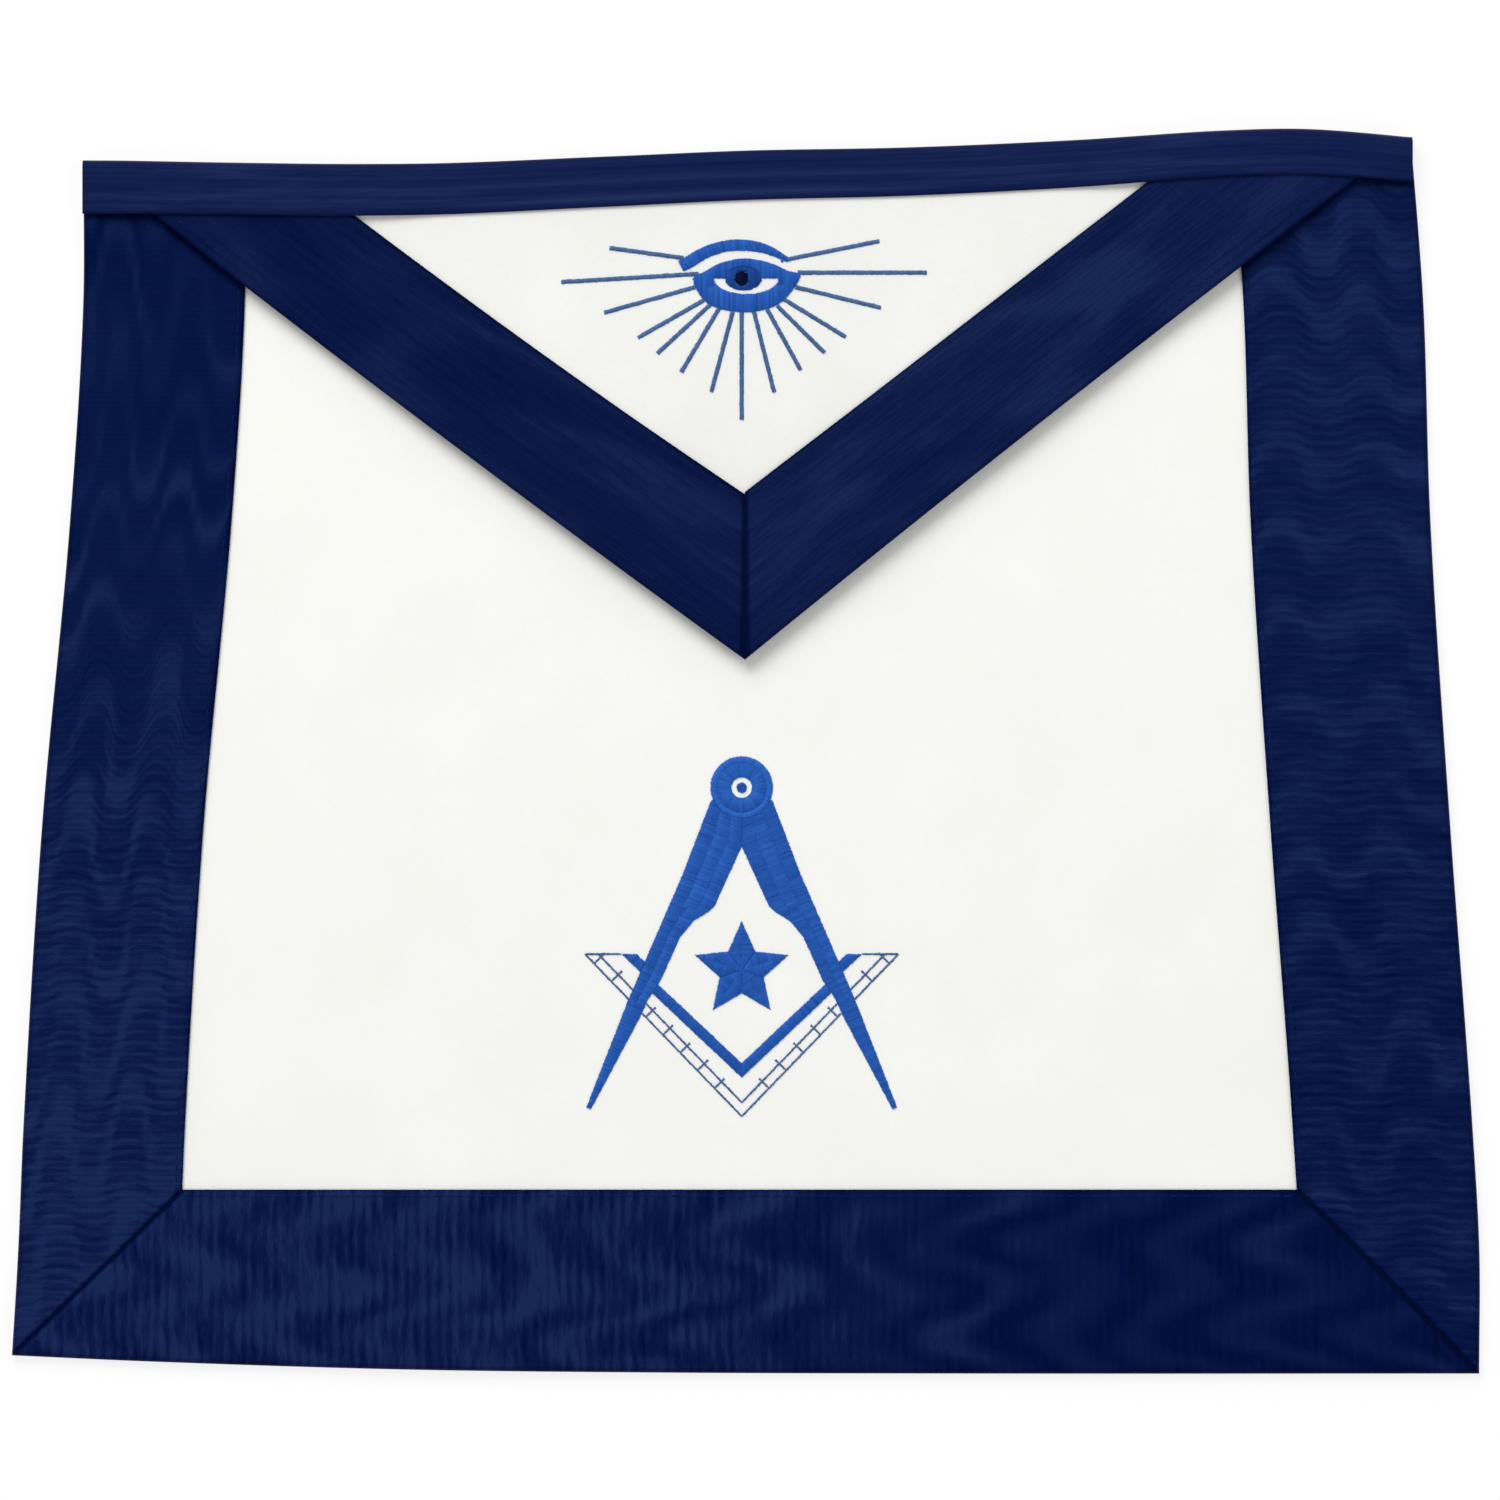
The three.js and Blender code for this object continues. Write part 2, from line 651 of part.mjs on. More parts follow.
// The square's scale: two thin lines with rungs square to them, which end in short ticks past the
// inner one, and a line along the top
function squareScale() {
  const rise = SCALE_POINT - SQUARE_TOP;
  const slope = rise / SCALE_REACH;
  const apart = SCALE_BREADTH * Math.hypot(1, slope);
  const length = Math.hypot(rise, SCALE_REACH);
  const steps = Math.floor((length - SCALE_FIRST) / SCALE_STEP);
  const strips = [];
  for (const side of [-1, 1]) {
    const innerTop = side * (rise - apart) / slope;
    strips.push([underHinge(0, SCALE_POINT), underHinge(side * SCALE_REACH, SQUARE_TOP)]);
    strips.push([underHinge(0, SCALE_POINT - apart), underHinge(innerTop, SQUARE_TOP)]);
    const hookEnd = underHinge(side * (HOOK_OUTER + GAP), SQUARE_TOP);
    strips.push([hookEnd, underHinge(side * SCALE_REACH, SQUARE_TOP)]);
    for (let step = 0; step <= steps; step += 1) {
      const share = (SCALE_FIRST + step * SCALE_STEP) / length;
      const foot = underHinge(side * share * SCALE_REACH, SCALE_POINT - share * rise);
      const square = new THREE.Vector2(-side * rise, SCALE_REACH).divideScalar(length);
      strips.push([foot, foot.clone().addScaledVector(square, SCALE_BREADTH + SCALE_TICK)]);
    }
  }
  return strips.map(([from, to]) => solid(plate(strip(from, to, SCALE_LINE))))
    .reduce((whole, next) => whole.add(next));
}

function star() {
  const centre = underHinge(0, STAR_DROP);
  const waist = 0.47;
  return plate(evenStations(10).slice(0, -1).map((share, index) => {
    const radius = STAR_RADIUS * (index % 2 ? waist : 1);
    const angle = share * 2 * Math.PI + Math.PI / 2;
    return new THREE.Vector2(centre.x + radius * Math.cos(angle), centre.y + radius * Math.sin(angle));
  }));
}

function eyelidOutline() {
  const corners = EYELID_ROWS.map(({ across, up }) => new THREE.Vector3(
    PUPIL.x + across * EYE_WIDTH,
    PUPIL.y + up * EYE_HEIGHT,
    0,
  ));
  const rim = new THREE.CatmullRomCurve3(corners, true, 'centripetal');
  return rim.getPoints(RIM_SIDES).slice(0, -1).map(({ x, y }) => new THREE.Vector2(x, y));
}

function irisOutline(clearance) {
  const centre = new THREE.Vector2(PUPIL.x + IRIS_SHIFT, PUPIL.y);
  return round(centre, IRIS_WIDTH / 2 + clearance, IRIS_HEIGHT / 2 + clearance, ROUND_SIDES);
}

// The white of the eye: a half round opening with a level top
function eyeWhiteOutline() {
  return evenStations(EYE_SIDES).map((share) => new THREE.Vector2(
    PUPIL.x + EYE_OPENING_SHIFT - EYE_OPENING / 2 * Math.cos(share * Math.PI),
    PUPIL.y - EYE_OPENING_DEPTH * Math.sin(share * Math.PI),
  ));
}

function eyelids() {
  const opening = solid(plate(eyeWhiteOutline())).add(solid(plate(irisOutline(GAP))));
  return surfaceOf(solid(plate(eyelidOutline())).subtract(opening));
}

function browOutline(clearance) {
  const middle = BROW_ROWS.map(({ across, up }) => new THREE.Vector2(
    PUPIL.x + across * BROW_SPAN,
    PUPIL.y + up * BROW_SPAN,
  ));
  const edge = (side) => middle.map((point, index) => {
    const before = middle[Math.max(index - 1, 0)];
    const after = middle[Math.min(index + 1, middle.length - 1)];
    const along = after.clone().sub(before).normalize();
    const half = side * (BROW_ROWS[index].wide * BROW_WIDTH / 2);
    return new THREE.Vector2(point.x - along.y * half, point.y + along.x * half);
  });
  const smooth = (points) => new THREE.SplineCurve(points).getPoints(20);
  const outline = [...smooth(edge(1)), ...smooth(edge(-1)).reverse()];
  return clearance > 0 ? grown(outline, clearance) : outline;
}

// A ray: a strip in short lengths, so that it can follow the flap, cut clear of the eye and the brow
function ray({ fromX, fromY, toX, toY }) {
  const from = new THREE.Vector2(fromX, fromY).multiplyScalar(RAY_REACH).add(PUPIL);
  const to = new THREE.Vector2(toX, toY).multiplyScalar(RAY_REACH).add(PUPIL);
  const aside = new THREE.Vector2(from.y - to.y, to.x - from.x).normalize().multiplyScalar(RAY_WIDTH / 2);
  const body = wall([-1, 1], evenStations(4), (side, share, top) => {
    const point = from.clone().lerp(to, share).addScaledVector(aside, side);
    return [point.x, point.y, top ? THREAD_THICK : 0];
  });
  const clear = solid(body)
    .subtract(solid(plate(grown(eyelidOutline(), GAP))))
    .subtract(solid(plate(browOutline(GAP))));
  const pieces = clear.decompose().sort((one, other) => other.volume() - one.volume());
  return surfaceOf(pieces[0]);
}

const apron = new THREE.Group();

function add(name, geometry, material) {
  const mesh = new THREE.Mesh(geometry, material);
  mesh.name = name;
  apron.add(mesh);
}

// Cloth and leather
add('body_panel', bodyPanel(), LEATHER);
add('border_left', sideBorder(-1), RIBBON);
add('border_right', sideBorder(1), RIBBON);
add('border_bottom', bottomBorder(), RIBBON);
add('flap_panel', flapPanel(), LEATHER);
add('flap_border_left', flapBorder(-1), RIBBON);
add('flap_border_right', flapBorder(1), RIBBON);
add('waistband', waistband(), RIBBON);

// The eye and its rays, on the flap
add('eyelids', laidOn(eyelids(), flapTop), THREAD);
const pupilHole = round(PUPIL, PUPIL_RADIUS + GAP, PUPIL_RADIUS + GAP, SMALL_SIDES);
add('iris', laidOn(plate(irisOutline(0), [pupilHole]), flapTop), THREAD);
add('pupil', laidOn(plate(round(PUPIL, PUPIL_RADIUS, PUPIL_RADIUS, SMALL_SIDES)), flapTop), DARK_THREAD);
add('brow', laidOn(plate(browOutline(0)), flapTop), THREAD);
RAY_ROWS.forEach((row, index) => {
  add(`ray_${String(index + 1).padStart(2, '0')}`, laidOn(ray(row), flapTop), THREAD);
});

// The compasses, the square and the star, on the panel
add('compass_leg_left', laidOn(compassLeg(-1), bodyTop), THREAD);
add('compass_leg_right', laidOn(compassLeg(1), bodyTop), THREAD);
const hingeHole = round(HINGE, HINGE_HOLE, HINGE_HOLE, SMALL_SIDES);
const hingeRim = round(HINGE, HINGE_RADIUS, HINGE_RADIUS, ROUND_SIDES);
add('compass_hinge_disc', laidOn(plate(hingeRim, [hingeHole]), bodyTop), THREAD);
add('compass_pivot', laidOn(plate(round(HINGE, PIVOT_RADIUS, PIVOT_RADIUS, SMALL_SIDES)), bodyTop), THREAD);
const squareEdges = { ...besideLegs(squareEdge(HOOK_IN)), middle: besideLegs(squareEdge(0)).middle };
const squareScales = besideLegs(squareScale());
for (const place of ['left', 'middle', 'right']) {
  add(`square_edge_${place}`, laidOn(squareEdges[place], bodyTop), THREAD);
  add(`square_scale_${place}`, laidOn(squareScales[place], bodyTop), THREAD);
}
add('star', laidOn(star(), bodyTop), THREAD);

// The origin is the middle of the underside
const box = new THREE.Box3().setFromObject(apron);
apron.position.set(-(box.min.x + box.max.x) / 2, -(box.min.y + box.max.y) / 2, -box.min.z);
apron.updateMatrixWorld(true);

export default apron;
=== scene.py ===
"""Lodge apron lying face up on a pale table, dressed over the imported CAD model.

A white leather-look sheet with wide watered ribbon folded round its sides and foot, a ribbon-edged flap
hanging point down from the waistband, and satin-stitch embroidery built strand by strand. Metres. The lay
of the sheets repeats the part's own formulas, so every piece stays where its CAD node is.
"""

import logging
import math
from collections.abc import Callable, Sequence
from dataclasses import dataclass, field
from enum import Enum

import bpy
import numpy as np
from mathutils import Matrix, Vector


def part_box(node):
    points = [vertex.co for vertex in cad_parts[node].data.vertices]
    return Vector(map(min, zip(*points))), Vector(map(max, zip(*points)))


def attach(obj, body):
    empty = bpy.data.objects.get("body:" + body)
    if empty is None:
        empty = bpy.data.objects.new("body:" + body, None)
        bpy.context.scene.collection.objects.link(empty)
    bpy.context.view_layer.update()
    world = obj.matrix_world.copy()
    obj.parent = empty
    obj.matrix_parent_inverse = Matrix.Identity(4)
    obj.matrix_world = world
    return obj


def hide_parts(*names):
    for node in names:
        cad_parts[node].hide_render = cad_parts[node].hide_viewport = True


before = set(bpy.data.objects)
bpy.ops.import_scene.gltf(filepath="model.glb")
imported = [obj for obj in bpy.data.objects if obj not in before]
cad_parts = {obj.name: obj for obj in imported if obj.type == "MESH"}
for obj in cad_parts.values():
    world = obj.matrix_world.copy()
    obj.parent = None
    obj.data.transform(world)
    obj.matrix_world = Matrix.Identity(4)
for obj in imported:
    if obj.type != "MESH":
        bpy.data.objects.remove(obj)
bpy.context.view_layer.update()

log = logging.getLogger("apron")
Array = np.ndarray
Outline = Array
Surface = Callable[[Array, Array], Array]
Triple = tuple[float, float, float]
Piece = bpy.types.Object
Socket = bpy.types.NodeSocket


class Slot(Enum):
    """Material slots."""

    RIBBON = "moire_ribbon"
    PANEL = "white_panel"
    THREAD = "blue_thread"
    DARK_THREAD = "dark_thread"


class Side(Enum):
    """The two sides of the apron, with the sign that each has along X."""

    LEFT = -1
    RIGHT = 1

    @property
    def word(self) -> str:
        """The side's name in a node's or piece's name."""
        return self.name.lower()


@dataclass(frozen=True)
class ApronSizes:
    """Driving sizes of the apron, in metres, as in the part."""

    height: float = 0.3556
    top_width: float = 0.3861
    bottom_width: float = 0.427
    top_rise: float = 0.0091
    bottom_lift: float = 0.0053
    top_shift: float = 0.00075
    panel_thick: float = 0.001
    ribbon_thick: float = 0.001
    gap: float = 0.0003
    border_width: float = 0.0508
    turned_leaf: float = 0.009
    band_height: float = 0.0145
    band_back: float = 0.014
    band_fold: float = 0.0018
    flap_ribbon: float = 0.0376
    flap_lap: float = 0.012
    flap_depth: float = 0.1481
    flap_tuck: float = 0.005
    flap_spring: float = 0.002
    flap_spring_run: float = 0.07
    flap_bow: float = 0.0016
    sag_run: float = 0.028
    band_end_drop: float = 0.002
    beside_edge: float = 0.001

    @property
    def leaf_lift(self) -> float:
        """How far a turned leaf lifts what lies over it."""
        return self.ribbon_thick + self.gap

    @property
    def flap_core(self) -> float:
        """Thickness of what the flap's ribbon is folded round."""
        return max(self.panel_thick, self.ribbon_thick)

    @property
    def border_fold(self) -> float:
        """Outer radius of the borders' fold."""
        return (self.panel_thick + 2 * self.gap) / 2 + self.ribbon_thick

    @property
    def flap_fold(self) -> float:
        """Outer radius of the flap ribbon's fold."""
        return (self.flap_core + self.gap + self.ribbon_thick) / 2

    @property
    def panel_inset(self) -> float:
        """How far the panel's edge stands inside the borders' fold."""
        return self.border_fold + self.gap / 2

    @property
    def top_inset(self) -> float:
        """How far the panel and the borders end below the band's top fold."""
        return self.band_fold + self.gap

    @property
    def slit(self) -> float:
        """Half the gap along each mitre; below zero, because the sewn edges press into each other."""
        return -self.gap / 5


BORDER_SHOWN = {Side.LEFT: 0.925, Side.RIGHT: 1.03}
BOTTOM_SHOWN = 1.053
SIDE_TABLE = {
    "up": (0, 0.1, 0.2, 0.45, 0.7, 0.88, 1),
    Side.LEFT: (1, 0.9, 0.83, 0.57, 0.18, 0, 0),
    Side.RIGHT: (1, 1, 0.9, 0.57, 0.28, 0.17, 0),
}
TOP_TABLE = {
    "across": (-1, -0.5, -0.2, 0, 0.24, 0.5, 0.72, 0.84, 1),
    "rise": (-0.32, -0.42, -0.18, 0, 0.1, 0.34, 0.63, 0.68, 0.42),
}
BOTTOM_TABLE = {
    "across": (-1, -0.81, -0.46, -0.1, 0.3, 1),
    "lift": (1, 0.66, 0.22, 0.05, 0, 0),
}
BAND_TABLE = {"across": (-1, 0, 1), "high": (1.08, 1, 0.91)}
FLAP_RIBBON_TABLE = {"along": (0, 0.2, 0.5, 1), "wide": (1.02, 0.985, 0.96, 0.955)}
RIPPLE_HEIGHT = 0.00035
RIPPLE_LENGTH = 0.16
HALVINGS = 30
MITRE_ROUNDS = 4
HINGE = (-0.00095, 0.1704)
TOUCHING = 0.00001
SEWN_INTO = 0.00008
SHARP_SHEET = 40
SHARP_STRAND = 70
PRESSED_ROWS = (0, 0.0004, 0.0009, 0.0015)
STRAND_RISE = (0.4, 0.9, 1, 0.9, 0.4)
STRAND_RING = ((-0.5, 0), (0.5, 0), (0.47, 0.55), (0.2, 0.97), (-0.2, 0.97), (-0.47, 0.55))
SAME_PLACE = 1e-9
SHARPEST = 0.3
FULL_TURN = 2 * math.pi


class Column:
    """Smooth curve through one column of a short table, as the part draws it."""

    def __init__(self, at: Sequence[float], value: Sequence[float]) -> None:
        """Keeps the table's two columns."""
        self.at = np.array(at, float)
        self.value = np.array(value, float)

    def __call__(self, where: Array | float) -> Array:
        """Reads the curve.

        Args:
            where: Places on the table's first column; beyond its ends the end values hold.

        Returns:
            The second column's values there.
        """
        at, value, last = self.at, self.value, len(self.at) - 1
        where = np.clip(np.asarray(where, float), at[0], at[-1])
        one = np.clip(np.searchsorted(at, where, side="right"), 1, last)
        start, end = at[one - 1], at[one]
        before = np.where(one > 1, one - 2, one)
        after = np.where(one < last, one + 1, one - 1)
        half = (end - start) / 2
        pull_in = half / (start - at[before])
        pull_out = half / (at[np.minimum(after, last)] - end)
        p = (where - start) / (end - start)
        return (
            (-pull_in * p**3 + 2 * pull_in * p**2 - pull_in * p) * value[before]
            + ((1 + pull_in) * p**3 + (-1.5 - 2 * pull_in) * p**2 + (-0.5 + pull_in) * p + 1) * value[one - 1]
            + ((-1 - pull_out) * p**3 + (1.5 + pull_out) * p**2 + 0.5 * p) * value[one]
            + (pull_out * p**3 - pull_out * p**2) * value[after]
        )


class Drift:
    """Seeded smooth noise: a sum of waves in random directions, roughly from -1 to 1."""

    def __init__(self, seed: int, length: float, waves: int = 7) -> None:
        """Draws the waves.

        Args:
            seed: Seed of the random draws.
            length: Typical wavelength, in metres.
            waves: How many waves are added.
        """
        rng = np.random.default_rng(seed)
        turn = rng.uniform(0, FULL_TURN, waves)
        pace = FULL_TURN / (length * rng.uniform(0.7, 1.5, waves))
        self.pace_x = pace * np.cos(turn)
        self.pace_y = pace * np.sin(turn)
        self.phase = rng.uniform(0, FULL_TURN, waves)

    def __call__(self, x: Array, y: Array) -> Array:
        """The noise at points of a plane."""
        x, y = np.broadcast_arrays(np.asarray(x, float), np.asarray(y, float))
        total = np.zeros(x.shape)
        for pace_x, pace_y, phase in zip(self.pace_x, self.pace_y, self.phase):
            total += np.sin(pace_x * x + pace_y * y + phase)
        return total / math.sqrt(2 * len(self.phase))


def lerp(start: Array | float, end: Array | float, share: Array | float) -> Array:
    """Straight blend from start to end."""
    return start + (end - start) * share


def smoothstep(value: Array | float, low: float, high: Array | float) -> Array:
    """Smooth rise from 0 at low to 1 at high."""
    share = np.clip((np.asarray(value, float) - low) / (high - low), 0, 1)
    return share * share * (3 - 2 * share)


class Lay:
    """Where each sheet of the apron lies: the part's outlines and heights, in metres."""

    def __init__(self, sizes: ApronSizes) -> None:
        """Sets up the curves and finds the part's shift from the compasses' hinge.

        Args:
            sizes: The apron's driving sizes.
        """
        self.sizes = sizes
        self.spread = {side: Column(SIDE_TABLE["up"], SIDE_TABLE[side]) for side in Side}
        self.top_rise = Column(TOP_TABLE["across"], TOP_TABLE["rise"])
        self.bottom_rise = Column(BOTTOM_TABLE["across"], BOTTOM_TABLE["lift"])
        self.band_share = Column(BAND_TABLE["across"], BAND_TABLE["high"])
        self.flap_ribbon_share = Column(FLAP_RIBBON_TABLE["along"], FLAP_RIBBON_TABLE["wide"])
        self.ripples = Drift(seed=11, length=RIPPLE_LENGTH, waves=6)
        low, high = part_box("compass_pivot")
        middle = (low + high) / 2
        self.shift = np.array([middle.x - HINGE[0], middle.y - HINGE[1], 0.0])
        self.flap_inner_x = {side: self.flap_meets_band(side, sizes.flap_ribbon, 0) for side in Side}
        self.flap_outer_x = {side: self.flap_meets_band(side, 0, sizes.flap_tuck) for side in Side}

    def side_x(self, side: Side, y: Array | float) -> Array:
        """A side edge's place across, at heights y."""
        share = self.spread[side](y / self.sizes.height)
        half = lerp(self.sizes.top_width, self.sizes.bottom_width, share) / 2
        return side.value * half + self.sizes.top_shift * (y / self.sizes.height)

    def top_y(self, x: Array | float) -> Array:
        """The top edge's height at x."""
        return self.sizes.height + self.sizes.top_rise * self.top_rise(2 * x / self.sizes.top_width)

    def bottom_y(self, x: Array | float) -> Array:
        """The bottom edge's height at x."""
        return self.sizes.bottom_lift * self.bottom_rise(2 * x / self.sizes.bottom_width)

    def band_taper(self, x: Array | float) -> Array:
        """The waistband's height at x, as a share of its height in the middle."""
        return self.band_share(2 * x / self.sizes.top_width)

    def border_width(self, side: Side) -> float:
        """The shown width of a side's border."""
        return self.sizes.border_width * BORDER_SHOWN[side]

    @property
    def bottom_border(self) -> float:
        """The shown width of the bottom border."""
        return self.sizes.border_width * BOTTOM_SHOWN

    def side_inset(self, side: Side, x: Array, y: Array) -> Array:
        """How far points lie inside a side edge."""
        return side.value * (self.side_x(side, y) - x)

    def settled(self, inset: Array, start: Array | float) -> Array:
        """1 where a sheet has settled past something that lifts it, 0 over it."""
        return smoothstep(inset - start, 0, self.sizes.sag_run)

    def over_band(self, x: Array, y: Array) -> Array:
        """Lift from the waistband's back leaf."""
        past = self.settled(self.top_y(x) - y, self.sizes.band_back * self.band_taper(x))
        return self.sizes.leaf_lift * (1 - past)

    def over_side_leaves(self, x: Array, y: Array) -> Array:
        """1 where a sheet is clear of both side borders' turned leaves."""
        leaf = self.sizes.turned_leaf
        left = self.settled(self.side_inset(Side.LEFT, x, y), leaf)
        return left * self.settled(self.side_inset(Side.RIGHT, x, y), leaf)

    def ripple(self, x: Array, y: Array) -> Array:
        """Gentle waves of the lying sheets, never below the flat."""
        return RIPPLE_HEIGHT * (0.5 + 0.5 * np.clip(self.ripples(x, y), -1, 1))

    def body_under(self, x: Array, y: Array) -> Array:
        """Underside of the panel."""
        level = self.over_side_leaves(x, y) * self.settled(y - self.bottom_y(x), self.sizes.turned_leaf)
        return self.sizes.leaf_lift * (1 - level) + self.over_band(x, y) + self.ripple(x, y)

    def body_top(self, x: Array, y: Array) -> Array:
        """Face of the panel."""
        return self.body_under(x, y) + self.sizes.panel_thick

    def border_under(self, x: Array, y: Array) -> Array:
        """Underside of a border's upper layer."""
        return self.body_top(x, y) + self.sizes.gap

    def flap_under(self, x: Array, y: Array) -> Array:
        """Underside of the flap.

        Args:
            x: Places across.
            y: Places up.

        Returns:
            The heights there.
        """
        sizes = self.sizes
        beside = {
            side: self.settled(self.side_inset(side, x, y), self.border_width(side) + sizes.beside_edge)
            for side in Side
        }
        lifts = 2 - self.over_side_leaves(x, y) - beside[Side.LEFT] * beside[Side.RIGHT]
        seam = self.top_y(x) - sizes.band_height * self.band_taper(x)
        spring = sizes.flap_spring * smoothstep(seam - y, 0, sizes.flap_spring_run)
        base = sizes.leaf_lift + sizes.panel_thick + sizes.gap
        return base + sizes.leaf_lift * lifts + spring + self.ripple(x, y)

    def flap_top(self, x: Array, y: Array) -> Array:
        """Face of the flap's sheet."""
        return self.flap_under(x, y) + self.sizes.panel_thick

    def flap_ribbon_under(self, x: Array, y: Array) -> Array:
        """Underside of the flap ribbon's upper layer."""
        return self.flap_under(x, y) + self.sizes.flap_core + self.sizes.gap

    def flap_edge_y(self, side: Side, x: Array | float, inset: Array | float) -> Array:
        """Height of a line that runs inside the flap's free edge.

        Args:
            side: Which side.
            x: Places across.
            inset: Distance inside the flap's edge.

        Returns:
            The heights there.
        """
        sizes = self.sizes
        corner_x = float(self.side_x(side, sizes.height))
        corner_y = float(self.top_y(corner_x))
        point_y = sizes.height - sizes.flap_depth
        along = x / corner_x
        steep = math.hypot(corner_x, corner_y - point_y) / abs(corner_x)
        bow = side.value * sizes.flap_bow * 4 * along * (1 - along)
        return lerp(point_y, corner_y, along) + bow + inset * self.flap_ribbon_share(along) * steep

    def flap_meets_band(self, side: Side, inset: float, tuck: float) -> float:
        """Where such a line reaches a given depth inside the waistband.

        Args:
            side: Which side.
            inset: Distance inside the flap's edge.
            tuck: Depth above the band's seam.

        Returns:
            The place across.
        """
        near, far = 0.0, abs(float(self.side_x(side, self.sizes.height)))
        for _ in range(HALVINGS):
            middle = (near + far) / 2
            x = side.value * middle
            seam = self.top_y(x) - self.sizes.band_height * self.band_taper(x)
            if self.flap_edge_y(side, x, inset) < seam + tuck:
                near = middle
            else:
                far = middle
        return side.value * near

    def flap_point(self, side: Side, inset: float, along: Array) -> tuple[Array, Array]:
        """Points of the flap, by distance inside its edge and share from its point to the band."""
        end = self.flap_meets_band(side, inset, self.sizes.flap_tuck)
        x = lerp(side.value * self.sizes.slit, end, along)
        return x, self.flap_edge_y(side, x, inset)

    def band_under(self, x: Array, _y: Array) -> Array:
        """Underside of the waistband's front.

        Args:
            x: Places across.
            _y: Not needed: the front is level from its seam to the fold.

        Returns:
            The heights there.
        """
        sizes = self.sizes
        right = x >= 0
        inner = np.where(right, abs(self.flap_inner_x[Side.RIGHT]), abs(self.flap_inner_x[Side.LEFT]))
        outer = np.where(right, abs(self.flap_outer_x[Side.RIGHT]), abs(self.flap_outer_x[Side.LEFT]))
        ends = {side: abs(float(self.side_x(side, sizes.height))) for side in Side}
        end = np.where(right, ends[Side.RIGHT], ends[Side.LEFT])
        edge = sizes.beside_edge
        over_ribbon = 1 - smoothstep(inner - np.abs(x) - edge, 0, sizes.sag_run)
        past_flap = smoothstep((np.abs(x) - outer - edge) / (end - outer - edge), 0, 1)
        seam = self.top_y(x) - sizes.band_height * self.band_taper(x)
        base = self.flap_under(x, seam) + sizes.flap_core + sizes.gap
        return base + sizes.leaf_lift * over_ribbon - sizes.band_end_drop * past_flap


@dataclass
class MeshParts:
    """Corners and four-sided faces of a mesh, with what is painted on its corners."""

    corners: Array
    quads: Array
    uv: Array | None = None
    paint: dict[str, Array] = field(default_factory=dict)

    def facing_out(self) -> "MeshParts":
        """Turns all faces if the closed mesh is inside out."""
        a, b, c, d = (self.corners[self.quads[:, k]] for k in range(4))
        volume = np.einsum("ij,ij->", a, np.cross(b, c)) + np.einsum("ij,ij->", a, np.cross(c, d))
        if volume < 0:
            self.quads = self.quads[:, ::-1]
        return self

    def piece(self, name: str, shift: Array, sharp: float = SHARP_SHEET) -> Piece:
        """Makes the Blender object.

        Args:
            name: Name of the piece.
            shift: The part's move to its origin.
            sharp: Edges that bend more than this many degrees stay crisp.

        Returns:
            The new object, linked to the scene.
        """
        mesh = bpy.data.meshes.new(name)
        mesh.from_pydata((self.corners + shift).tolist(), [], self.quads.tolist())
        mesh.polygons.foreach_set("use_smooth", np.ones(len(self.quads), bool))
        if self.uv is not None:
            layer = mesh.uv_layers.new(name="weave")
            layer.data.foreach_set("uv", self.uv[self.quads.ravel()].astype(np.float32).ravel())
        for word, values in self.paint.items():
            mesh.attributes.new(word, "FLOAT", "POINT").data.foreach_set("value", values.astype(np.float32))
        mesh.set_sharp_from_angle(angle=math.radians(sharp))
        mesh.update()
        made = bpy.data.objects.new(name, mesh)
        bpy.context.scene.collection.objects.link(made)
        return made


def closed_wall(face: Array, back: Array) -> tuple[Array, Array]:
    """Closes two grids into one shell.

    Args:
        face: Grid of points, rows by columns by 3.
        back: The grid behind it, of the same size.

    Returns:
        The corners and the four-sided faces.
    """
    rows, columns = face.shape[:2]
    count = rows * columns
    number = np.arange(count).reshape(rows, columns)
    sheet = np.stack([number[:-1, :-1], number[1:, :-1], number[1:, 1:], number[:-1, 1:]], -1).reshape(-1, 4)
    rim = np.concatenate([number[:-1, 0], number[-1, :-1], number[:0:-1, -1], number[0, :0:-1]])
    after = np.roll(rim, -1)
    edge = np.stack([rim, rim + count, after + count, after], -1)
    corners = np.concatenate([face.reshape(-1, 3), back.reshape(-1, 3)])
    return corners, np.concatenate([sheet, sheet[:, ::-1] + count, edge])


def even(count: int) -> Array:
    """Shares from 0 to 1 in equal steps."""
    return np.linspace(0, 1, count + 1)


